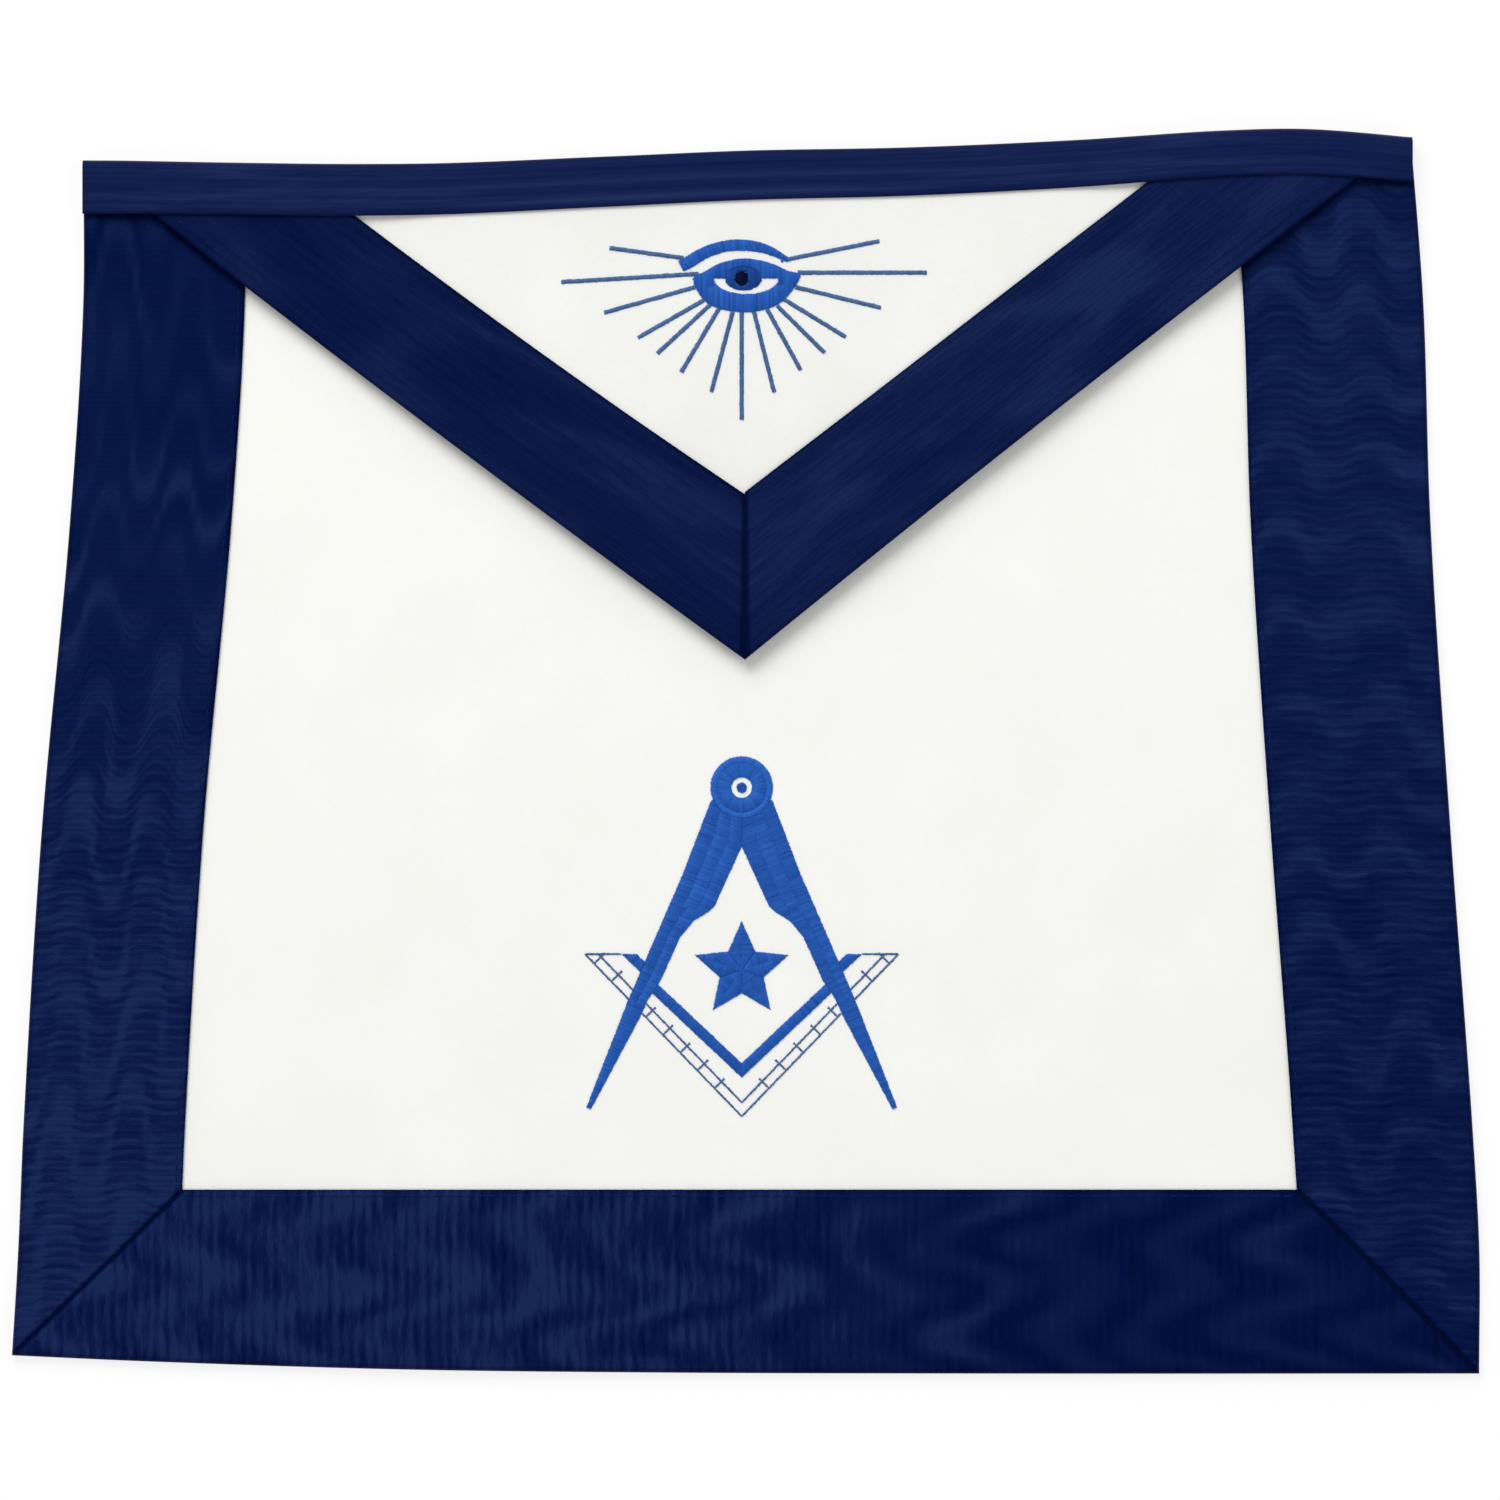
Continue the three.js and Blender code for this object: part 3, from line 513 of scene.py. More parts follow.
class Nodes:
    """Short hand for building one material's node tree."""

    def __init__(self, name: str) -> None:
        """Starts a material with its shader joined to the output."""
        self.material = bpy.data.materials.new(name)
        self.material.use_nodes = True
        self.tree = self.material.node_tree
        self.shader = self.tree.nodes["Principled BSDF"]

    def add(
        self, kind: str, values: dict[str | int, object] | None = None, **settings: object
    ) -> bpy.types.Node:
        """Adds a node; values that are sockets are linked, others are set.

        Args:
            kind: The node's type.
            values: What its inputs get, by name or number.
            **settings: Its own settings.

        Returns:
            The node.
        """
        node = self.tree.nodes.new(kind)
        for key, value in settings.items():
            setattr(node, key, value)
        for key, value in (values or {}).items():
            self.feed(node.inputs[key], value)
        return node

    def feed(self, socket: Socket, value: object) -> None:
        """Links a socket to another, or sets its value."""
        if isinstance(value, Socket):
            self.tree.links.new(value, socket)
        else:
            socket.default_value = value

    def math(self, operation: str, *values: object) -> Socket:
        """A Math node's result."""
        return self.add("ShaderNodeMath", dict(enumerate(values)), operation=operation).outputs[0]

    def stretched(self, source: Socket, scale: Triple) -> Socket:
        """Coordinates scaled along each axis."""
        return self.add("ShaderNodeVectorMath", {0: source, 1: scale}, operation="MULTIPLY").outputs[0]

    def noise(self, where: object, scale: float, detail: float = 2, rough: float = 0.5) -> Socket:
        """Noise from 0 to 1."""
        values = {"Vector": where, "Scale": scale, "Detail": detail, "Roughness": rough}
        return self.add("ShaderNodeTexNoise", values).outputs["Fac"]

    def ramp(self, share: object, stops: Sequence[tuple[float, tuple[float, ...]]]) -> Socket:
        """Colours blended along a share.

        Args:
            share: Where on the ramp, from 0 to 1.
            stops: Each place and its colour.

        Returns:
            The colour.
        """
        node = self.add("ShaderNodeValToRGB", {"Fac": share})
        band = node.color_ramp
        while len(band.elements) < len(stops):
            band.elements.new(0.5)
        for element, (place, colour) in zip(band.elements, stops):
            element.position = place
            element.color = (*colour, 1)
        return node.outputs["Color"]

    def painted(self, name: str) -> Socket:
        """A value painted on the mesh's corners."""
        return self.add("ShaderNodeAttribute", attribute_name=name).outputs["Fac"]

    def bump(self, height: object, strength: float, distance: float, over: object = None) -> Socket:
        """A bump's normal, over another bump where one is given."""
        values = {"Height": height, "Strength": strength, "Distance": distance}
        if over is not None:
            values["Normal"] = over
        return self.add("ShaderNodeBump", values).outputs["Normal"]


def from_screen(red: float, green: float, blue: float) -> Triple:
    """Linear colour of a screen colour given from 0 to 255."""
    share = [value / 255 for value in (red, green, blue)]
    return tuple(s / 12.92 if s <= 0.04045 else ((s + 0.055) / 1.055) ** 2.4 for s in share)


@dataclass(frozen=True)
class RibbonFinish:
    """Navy moiré ribbon: fine ribs, level streaks that sway with the figure, and a quiet sheen; its colour
    also takes the painted shade and painted sheen that the mesh carries.
    """

    name: str
    dark: Triple
    middle: Triple
    light: Triple
    rib: float = 0.00062
    weft: float = 0.00157
    streak: float = 0.00315
    streak_gain: float = 0.85
    line_gain: float = 0.2
    fine_gain: float = 0.3
    streak_scale: Triple = (75, 400, 1)
    patch_scale: Triple = (110, 120, 1)
    fine_scale: Triple = (700, 3400, 1)
    patch_floor: float = 0.2
    rib_bump: tuple[float, float] = (0.35, 0.00006)
    weft_bump: tuple[float, float] = (1, 0.00003)
    fine_bump: tuple[float, float] = (0.25, 0.00008)
    polish: float = -0.12
    stops: tuple[float, ...] = (0, 0.13, 0.5, 0.85)
    # How dark the painted shade colour is, as a share of the dark colour.
    crease_share: float = 0.6
    roughness: float = 0.55
    specular: float = 0.06
    tint: tuple[float, ...] = (0.15, 0.35, 1, 1)
    sheen: float = 0.02
    sheen_tint: tuple[float, ...] = (0.2, 0.4, 1, 1)

    def material(self) -> bpy.types.Material:
        """Builds the finish.

        Returns:
            The new material.
        """
        nodes = Nodes(self.name)
        weave = nodes.add("ShaderNodeUVMap", uv_map="weave").outputs["UV"]
        split = nodes.add("ShaderNodeSeparateXYZ", {0: weave})
        rib = split.outputs["Y"]
        swayed = nodes.math("ADD", rib, nodes.painted("sway"))
        place = nodes.add("ShaderNodeCombineXYZ", {"X": split.outputs["X"], "Y": swayed}).outputs[0]
        streak = nodes.noise(nodes.stretched(place, self.streak_scale), 1, 3, 0.75)
        patch = nodes.noise(nodes.stretched(place, self.patch_scale), 1, 1)
        ribbed = nodes.painted("ribbed")
        strong = nodes.math("MULTIPLY", nodes.math("SUBTRACT", patch, self.patch_floor), ribbed)
        wave = nodes.math("SINE", nodes.math("MULTIPLY", swayed, FULL_TURN / self.streak))
        line = nodes.math("MULTIPLY", wave, nodes.math("MULTIPLY", strong, self.line_gain))
        fine = nodes.noise(nodes.stretched(weave, self.fine_scale), 1, 2)
        # The mesh's moiré figure with its painted shade and painted sheen, plus the fine lines.
        watered = nodes.math("ADD", nodes.painted("watered"), line)
        uneven = nodes.math("MULTIPLY", nodes.math("SUBTRACT", streak, 0.5), ribbed)
        # Figure, streaks and the mesh's painted shade, as one share.
        worn = nodes.math("MULTIPLY_ADD", uneven, self.streak_gain, watered)
        share = nodes.math("MULTIPLY_ADD", nodes.math("SUBTRACT", fine, 0.5), self.fine_gain, worn)
        # The deepest ramp colour is painted shade, reached where the mesh carries painted crease shade and
        # painted shadows.
        deep = tuple(value * self.crease_share for value in self.dark)
        colours = (deep, self.dark, self.middle, self.light)
        colour = nodes.ramp(share, tuple(zip(self.stops, colours)))
        nodes.feed(nodes.shader.inputs["Base Color"], colour)
        ribs = nodes.math("SINE", nodes.math("MULTIPLY", rib, FULL_TURN / self.rib))
        weft = nodes.math("COSINE", nodes.math("MULTIPLY", rib, FULL_TURN / self.weft))
        wefts = nodes.math("MULTIPLY", weft, ribbed)
        raised = nodes.bump(ribs, *self.rib_bump, nodes.bump(wefts, *self.weft_bump))
        nodes.feed(nodes.shader.inputs["Normal"], nodes.bump(fine, *self.fine_bump, raised))
        rough = nodes.math("MULTIPLY_ADD", worn, self.polish, self.roughness)
        nodes.feed(nodes.shader.inputs["Roughness"], rough)
        nodes.shader.inputs["Specular IOR Level"].default_value = self.specular
        nodes.shader.inputs["Specular Tint"].default_value = self.tint
        nodes.shader.inputs["Sheen Weight"].default_value = self.sheen
        nodes.shader.inputs["Sheen Tint"].default_value = self.sheen_tint
        return nodes.material


@dataclass(frozen=True)
class LeatherFinish:
    """Off-white leather-look sheet with a faint pebbled grain."""

    name: str
    base: Triple
    worn: Triple
    grain: float = 0.0011
    cloud_scale: float = 28
    pore_scale: float = 1600
    pebble_share: float = -0.25
    stops: tuple[float, float] = (0.25, 0.6)
    grain_bump: tuple[float, float] = (0.16, 0.00012)
    pore_bump: tuple[float, float] = (0.12, 0.00005)
    pore_rough: float = 0.1
    roughness: float = 0.5
    specular: float = 0.3

    def material(self) -> bpy.types.Material:
        """Builds the finish.

        Returns:
            The new material.
        """
        nodes = Nodes(self.name)
        place = nodes.add("ShaderNodeTexCoord").outputs["Object"]
        values = {"Vector": place, "Scale": 1 / self.grain}
        pebble = nodes.add("ShaderNodeTexVoronoi", values, feature="SMOOTH_F1").outputs["Distance"]
        cloud = nodes.noise(place, self.cloud_scale, 3)
        pore = nodes.noise(place, self.pore_scale, 2)
        mixed = nodes.math("MULTIPLY_ADD", pebble, self.pebble_share, cloud)
        colour = nodes.ramp(mixed, tuple(zip(self.stops, (self.base, self.worn))))
        nodes.feed(nodes.shader.inputs["Base Color"], colour)
        coarse = nodes.bump(pebble, *self.grain_bump)
        nodes.feed(nodes.shader.inputs["Normal"], nodes.bump(pore, *self.pore_bump, coarse))
        rough = nodes.math("MULTIPLY_ADD", pore, self.pore_rough, self.roughness)
        nodes.feed(nodes.shader.inputs["Roughness"], rough)
        nodes.shader.inputs["Specular IOR Level"].default_value = self.specular
        return nodes.material


@dataclass(frozen=True)
class ThreadFinish:
    """Silky embroidery thread with a fine twist and a slightly different tone on each strand."""

    name: str
    dark: Triple
    light: Triple
    twist: float = 0.0008
    ply_tone: float = 0.09
    ply_bump: tuple[float, float] = (0.3, 0.00005)
    stops: tuple[float, float] = (0.1, 0.9)
    roughness: float = 0.42
    specular: float = 0.2
    tint: tuple[float, ...] = (0.5, 0.7, 1, 1)
    sheen: float = 0.05
    sheen_tint: tuple[float, ...] = (0.4, 0.6, 1, 1)

    def material(self) -> bpy.types.Material:
        """Builds the finish.

        Returns:
            The new material.
        """
        nodes = Nodes(self.name)
        weave = nodes.add("ShaderNodeUVMap", uv_map="weave").outputs["UV"]
        split = nodes.add("ShaderNodeSeparateXYZ", {0: weave})
        run = nodes.math("DIVIDE", split.outputs["Y"], self.twist)
        turn = nodes.math("MULTIPLY", nodes.math("ADD", run, split.outputs["X"]), FULL_TURN)
        ply = nodes.math("SINE", turn)
        tone = nodes.math("MULTIPLY_ADD", ply, self.ply_tone, nodes.painted("tone"))
        colour = nodes.ramp(tone, tuple(zip(self.stops, (self.dark, self.light))))
        nodes.feed(nodes.shader.inputs["Base Color"], colour)
        nodes.feed(nodes.shader.inputs["Normal"], nodes.bump(ply, *self.ply_bump))
        nodes.shader.inputs["Roughness"].default_value = self.roughness
        nodes.shader.inputs["Specular IOR Level"].default_value = self.specular
        nodes.shader.inputs["Specular Tint"].default_value = self.tint
        nodes.shader.inputs["Sheen Weight"].default_value = self.sheen
        nodes.shader.inputs["Sheen Tint"].default_value = self.sheen_tint
        return nodes.material


@dataclass(frozen=True)
class TableFinish:
    """Plain pale table top, lit a little from within so that shadows on it stay faint."""

    name: str = "pale_table"
    base: Triple = (0.2, 0.2, 0.2)
    glow: float = 0.79
    roughness: float = 0.9
    specular: float = 0.1

    def material(self) -> bpy.types.Material:
        """Builds the finish.

        Returns:
            The new material.
        """
        nodes = Nodes(self.name)
        nodes.shader.inputs["Base Color"].default_value = (*self.base, 1)
        nodes.shader.inputs["Roughness"].default_value = self.roughness
        nodes.shader.inputs["Specular IOR Level"].default_value = self.specular
        nodes.shader.inputs["Emission Color"].default_value = (1, 1, 1, 1)
        nodes.shader.inputs["Emission Strength"].default_value = self.glow
        return nodes.material


class Wardrobe:
    """The finishes, each built once."""

    def __init__(self) -> None:
        """Builds every finish."""
        self.leather = LeatherFinish("white_leather", (0.851, 0.854, 0.813), (0.876, 0.879, 0.841)).material()
        self.flap_leather = LeatherFinish(
            "flap_leather", (0.784, 0.787, 0.747), (0.819, 0.822, 0.787)
        ).material()
        self.ribbon = RibbonFinish(
            "navy_watered_ribbon",
            dark=from_screen(0, 11, 55),
            middle=from_screen(9, 22, 65),
            light=from_screen(22, 37, 80),
        ).material()
        self.flap_ribbon = RibbonFinish(
            "navy_flap_ribbon",
            dark=from_screen(3, 14, 56),
            middle=from_screen(10, 22, 63),
            light=from_screen(20, 34, 76),
            streak_gain=0.8,
            line_gain=0.1,
        ).material()
        self.band = RibbonFinish(
            "navy_band_ribbon",
            dark=from_screen(9, 21, 62),
            middle=from_screen(17, 29, 70),
            light=from_screen(28, 41, 83),
            streak_gain=1.0,
            line_gain=0.1,
        ).material()
        self.thread = ThreadFinish(
            "royal_thread", from_screen(25, 75, 160), from_screen(47, 109, 201)
        ).material()
        self.slim_thread = ThreadFinish(
            "slim_thread", from_screen(60, 90, 138), from_screen(90, 122, 168)
        ).material()
        self.iris_thread = ThreadFinish(
            "iris_thread", from_screen(16, 54, 126), from_screen(32, 80, 162)
        ).material()
        self.navy_thread = ThreadFinish(
            "navy_thread", from_screen(3, 8, 36), from_screen(10, 20, 62), specular=0.08, sheen=0.0
        ).material()
        self.seam_thread = ThreadFinish(
            "seam_thread", from_screen(8, 19, 58), from_screen(17, 32, 78), specular=0.06, sheen=0.0
        ).material()


def put_on(made: Piece, material: bpy.types.Material, nodes: Sequence[str]) -> None:
    """Dresses a piece and ties it to the frame.

    Args:
        made: The piece.
        material: Its finish.
        nodes: CAD nodes that the piece replaces.
    """
    made.data.materials.append(material)
    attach(made, "root")
    if nodes:
        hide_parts(*nodes)


class RibRun(Enum):
    """Which way a ribbon's ribs lie."""

    LEVEL = "level"
    UPRIGHT = "upright"
    LENGTHWISE = "lengthwise"


@dataclass
class FoldedRibbon:
    """A ribbon laid flat, folded under along its outer edge, with a turned leaf below."""

    lay: Lay
    upper: Array
    lower: Array
    fold: float
    along: Array
    place: Callable[[float, Array], tuple[Array, Array]]
    upper_under: Surface
    lower_under: Surface
    ribs: RibRun
    figure: "Figure"
    pitch: float
    relief: float = 0.00006
    turns: int = 6
    press: float = 0.0014
    press_depth: float = 0.00045
    mitred: tuple[bool, bool] = (False, False)
    crease: float = 0.0024
    crease_depth: float = 0.0005
    # Width of the painted shade in the mitre creases.
    crease_line: float = 0.0018
    # Width and strength of the painted shade along the free edge and round the fold.
    edge_line: float = 0.0013
    edge_dark: float = 0.4
    beyond_cover: Surface | None = None
    shadow_line: float = 0.0022
    shadow_dark: float = 0.5
    worn_relief: float = 1.2
    leaf_step: float = 0.1

    def parts(self) -> MeshParts:
        """Builds the closed shell with its ribs and its pressed free edge.

        Returns:
            The shell, with the shares that the ribbon's finish reads painted on it.
        """
        thick = self.lay.sizes.ribbon_thick
        curl = np.linspace(0, math.pi, self.turns + 2)[1:-1]
        insets = np.concatenate([self.upper, np.full(self.turns, self.fold), self.lower])
        turning = np.concatenate([np.zeros(len(self.upper)), curl, np.full(len(self.lower), math.pi)])
        middle = self.fold - thick / 2
        free = self.upper[0]
        grids: dict[float, Array] = {}
        plan = np.zeros((len(insets), len(self.along), 4))
        for off in (thick / 2, -thick / 2):
            grid = np.zeros((len(insets), len(self.along), 3))
            for row, (inset, turn) in enumerate(zip(insets, turning)):
                x, y = self.place(inset - (middle + off) * math.sin(turn), self.along)
                high = self.upper_under(x, y) + thick / 2
                low = self.lower_under(x, y) + thick / 2
                z = (high + low) / 2 + ((high - low) / 2 + off) * math.cos(turn)
                away = self.from_mitre(x, y)
                if turn == 0:
                    pressed = self.press_depth * (1 - smoothstep(free - inset, 0, self.press))
                    creased = self.crease_depth * (1 - smoothstep(away, 0, self.crease))
                    z = z - np.maximum(pressed, creased) * (1 if off > 0 else 0.5)
                grid[row] = np.stack([x, y, z], -1)
                beyond = self.beyond_cover(x, y) if self.beyond_cover else np.ones(x.shape)
                plan[row] = np.stack([*self.rib_run(x, y, inset, row), away, beyond], -1)
            grids[off] = grid
        face, back = grids[thick / 2], grids[-thick / 2]
        run, rib, away, beyond = (plan[..., k] for k in range(4))
        if self.ribs is RibRun.LENGTHWISE:
            watered, sway = self.figure.bands(rib, run), self.figure.lean * run
        else:
            watered, sway = self.figure.bands(run, rib), self.figure.sway(run, rib)
        ribs = np.cos(FULL_TURN * rib / self.pitch) / 2
        ribbed = self.figure.ribbed(run if self.ribs is RibRun.LENGTHWISE else rib)
        face[..., 2] += self.relief * ribs * ribbed * (self.worn_relief - watered) * np.cos(turning)[:, None]
        # Painted shade: rim darkens the ribbon round its fold and at its free edge, where the turned edge
        # falls in shade.
        rim = np.where(turning > 0, np.sin(turning), 1 - smoothstep(free - insets, 0, self.edge_line))
        # Painted shade in the mitre creases.
        crease = (1 - smoothstep(away, 0, self.crease_line)) * np.cos(turning / 2)[:, None]
        shadow = self.shadow_dark * (1 - smoothstep(beyond, 0, self.shadow_line))
        shaded = watered - self.edge_dark * rim[:, None] - crease - shadow
        corners, quads = closed_wall(face, back)
        uv = np.concatenate([plan[..., :2].reshape(-1, 2)] * 2)
        # The painted share holds the moiré figure with its painted sheen, painted shade and painted shadows.
        paint = {"watered": shaded, "sway": sway, "ribbed": ribbed}
        paint = {word: np.tile(values.ravel(), 2) for word, values in paint.items()}
        return MeshParts(corners, quads, uv, paint).facing_out()

    def from_mitre(self, x: Array, y: Array) -> Array:
        """Distance of one row's points from the nearer mitred end, or far where there is none."""
        away = np.ones(x.shape)
        for mitred, end in zip(self.mitred, (0, -1)):
            if mitred:
                away = np.minimum(away, np.hypot(x - x[end], y - y[end]))
        return away

    def rib_run(self, x: Array, y: Array, inset: float, row: int) -> tuple[Array, Array]:
        """Place along the ribs and place across them.

        Args:
            x: Places across.
            y: Places up.
            inset: The row's distance inside the outer edge.
            row: The row's number, which tells the turned leaf from the shown layer.

        Returns:
            The places along and across the ribs.
        """
        under = self.leaf_step if row >= len(self.upper) + self.turns // 2 else 0.0
        if self.ribs is RibRun.LEVEL:
            return np.full(x.shape, inset + under), y
        if self.ribs is RibRun.UPRIGHT:
            return np.full(x.shape, inset + under), x
        return np.hypot(x, y), np.full(x.shape, inset + under)


def shown_rows(width: float, pressed: int, first: float, fold: float, columns: int) -> Array:
    """Stations across a ribbon's shown layer, closest together at its pressed free edge.

    Args:
        width: The ribbon's shown width.
        pressed: How many rows stand at the pressed edge.
        first: Where the even rows start, from the free edge.
        fold: Where the fold starts.
        columns: How many even rows there are.

    Returns:
        Distances inside the outer edge.
    """
    return np.concatenate(
        [width - np.array(PRESSED_ROWS[:pressed]), np.linspace(width - first, fold, columns)]
    )


def rows_for(length: float, pitch: float, each: int = 4) -> Array:
    """Even stations that give each rib the same few rows."""
    return even(max(int(round(length / pitch)) * each, 8))


@dataclass(frozen=True)
class Figure:
    """Moiré figure of a ribbon: soft bands along it that wave across it as arches and loops, with a painted
    sheen that changes its lightness slowly along the ribbon.
    """

    seed: int
    width: float
    turns: float
    step: float
    depth: float
    start: float = 0.0
    contrast: float = 0.15
    crisp: float = 1.7
    calm: float = 0.2
    wild_from: tuple[float, float] = (0.17, 0.27)
    lean: float = 0.0
    # Painted sheen: how much lighter the figure is at the start and at the end of shade_run.
    shade: tuple[float, float] = (0.0, 0.0)
    shade_run: tuple[float, float] = (0.02, 0.34)
    ribs: tuple[float, float] = (1.0, 1.0)
    ribs_run: tuple[float, float] = (0.13, 0.25)
    square: float = 1.4
    wander: tuple[float, float] = (0.07, 0.07)
    deepen: tuple[float, float] = (0.3, 0.09)
    drift: tuple[float, float] = (0.3, 0.1)
    quick: tuple[float, float] = (0.13, 0.026)
    uneven: tuple[float, float] = (0.4, 0.05)
    cloud: tuple[float, float] = (0.06, 0.04)
    darkest: float = 0.15

    def wave(self, across: Array, along: Array) -> Array:
        """How far the bands are moved along the ribbon."""
        share, length = self.wander
        turn = across / self.width * self.turns + self.start
        turn = turn + share * Drift(self.seed + 4, length)(across, along)
        share, length = self.deepen
        depth = self.depth * (1 + share * Drift(self.seed + 5, length)(across, along))
        return depth * np.tanh(self.square * np.cos(FULL_TURN * turn)) / math.tanh(self.square)

    def sway(self, across: Array, along: Array) -> Array:
        """How far the fine streaks are moved: with the bands high up, calmer below."""
        return self.wave(across, along) * lerp(self.calm, 1, smoothstep(along, *self.wild_from))

    def ribbed(self, along: Array) -> Array:
        """How clearly the ribs show."""
        return lerp(*self.ribs, smoothstep(along, *self.ribs_run))

    def bands(self, across: Array, along: Array) -> Array:
        """How light the figure is, with its painted sheen; its floor leaves the darkest tones to the painted
        shade in the creases and the painted shadows.

        Args:
            across: Places across the ribbon.
            along: Places along it.

        Returns:
            Shares from 0 to 1.
        """
        drift = Drift(self.seed, self.drift[1])(across * 1.5, along)
        quick = Drift(self.seed + 1, self.quick[1])(across * 1.4, along)
        phase = (along + self.wave(across, along)) / self.step
        phase = phase + self.drift[0] * drift + self.quick[0] * quick
        crest = (0.5 + 0.5 * np.cos(FULL_TURN * phase)) ** self.crisp
        patch = np.clip(Drift(self.seed + 2, self.uneven[1])(across * 1.5, along), -1, 1)
        strength = 1 - self.uneven[0] + self.uneven[0] * patch
        cloud = self.cloud[0] * Drift(self.seed + 3, self.cloud[1])(across * 1.6, along)
        # Painted sheen: a slow change of lightness along the ribbon.
        painted_sheen = lerp(*self.shade, smoothstep(along, *self.shade_run))
        light = 0.5 + self.contrast * strength * (2 * crest - 0.8) + cloud + painted_sheen
        return np.clip(light, self.darkest, 1)


SIDE_FIGURES = {
    Side.LEFT: Figure(
        seed=41,
        width=0.047,
        turns=2.26,
        step=0.031,
        depth=0.0135,
        start=-0.05,
        contrast=0.22,
        crisp=2,
        calm=0.07,
        wild_from=(0.14, 0.25),
        shade=(0.22, -0.15),
        ribs=(1.4, 0.3),
    ),
    Side.RIGHT: Figure(
        seed=42,
        width=0.0523,
        turns=2,
        step=0.024,
        depth=0.0055,
        start=-0.15,
        contrast=0.17,
        calm=0.11,
        wild_from=(0.18, 0.5),
        shade=(-0.05, 0.07),
        ribs=(1.35, 0.9),
    ),
}
BOTTOM_FIGURE = Figure(
    seed=60,
    width=0.0535,
    turns=1.96,
    step=0.033,
    depth=0.0115,
    start=-0.43,
    contrast=0.28,
    crisp=1,
    calm=0.02,
    wild_from=(1, 2),
    shade=(0.09, -0.28),
    shade_run=(-0.1, 0.15),
    ribs=(1.7, 0.6),
    ribs_run=(-0.03, 0.07),
    square=0.6,
)
FLAP_FIGURES = {
    Side.LEFT: Figure(
        seed=79, width=0.0376, turns=0.8, step=0.075, depth=0.02, contrast=0.22, shade=(0.16, -0.13)
    ),
    Side.RIGHT: Figure(
        seed=81, width=0.0376, turns=0.8, step=0.075, depth=0.02, contrast=0.22, shade=(0.0, 0.09)
    ),
}
BAND_FIGURE = Figure(
    seed=100,
    width=0.0145,
    turns=0.5,
    step=0.06,
    depth=0.03,
    contrast=0.16,
    lean=0.05,
    shade=(0.1, -0.06),
    shade_run=(0.352, 0.385),
)


@dataclass
class Panel:
    """The white leather-look sheet of the apron."""

    lay: Lay
    spacing: float = 0.003
    cut_share: float = 0.98

    def build(self) -> Piece:
        """Builds the sheet as a closed shell.

        Returns:
            The sheet.
        """
        sizes, lay = self.lay.sizes, self.lay
        across = even(round(sizes.bottom_width / self.spacing))[:, None]
        up = even(round(sizes.height / self.spacing))[None, :]
        y = np.broadcast_to(up * sizes.height, (across.size, up.size))
        for _ in range(MITRE_ROUNDS):
            left = lay.side_x(Side.LEFT, y) + sizes.panel_inset
            x = lerp(left, lay.side_x(Side.RIGHT, y) - sizes.panel_inset, across)
            y = lerp(lay.bottom_y(x) + sizes.panel_inset, lay.top_y(x) - sizes.top_inset, up)
        face = np.stack([x, y, lay.body_top(x, y)], -1)
        back = np.stack([x, y, lay.body_under(x, y)], -1)
        corners, quads = closed_wall(face, back)
        return MeshParts(corners, quads).facing_out().piece("panel_sheet", lay.shift)

    def dress(self, made: Piece, wardrobe: Wardrobe) -> None:
        put_on(made, wardrobe.leather, ["body_panel"])


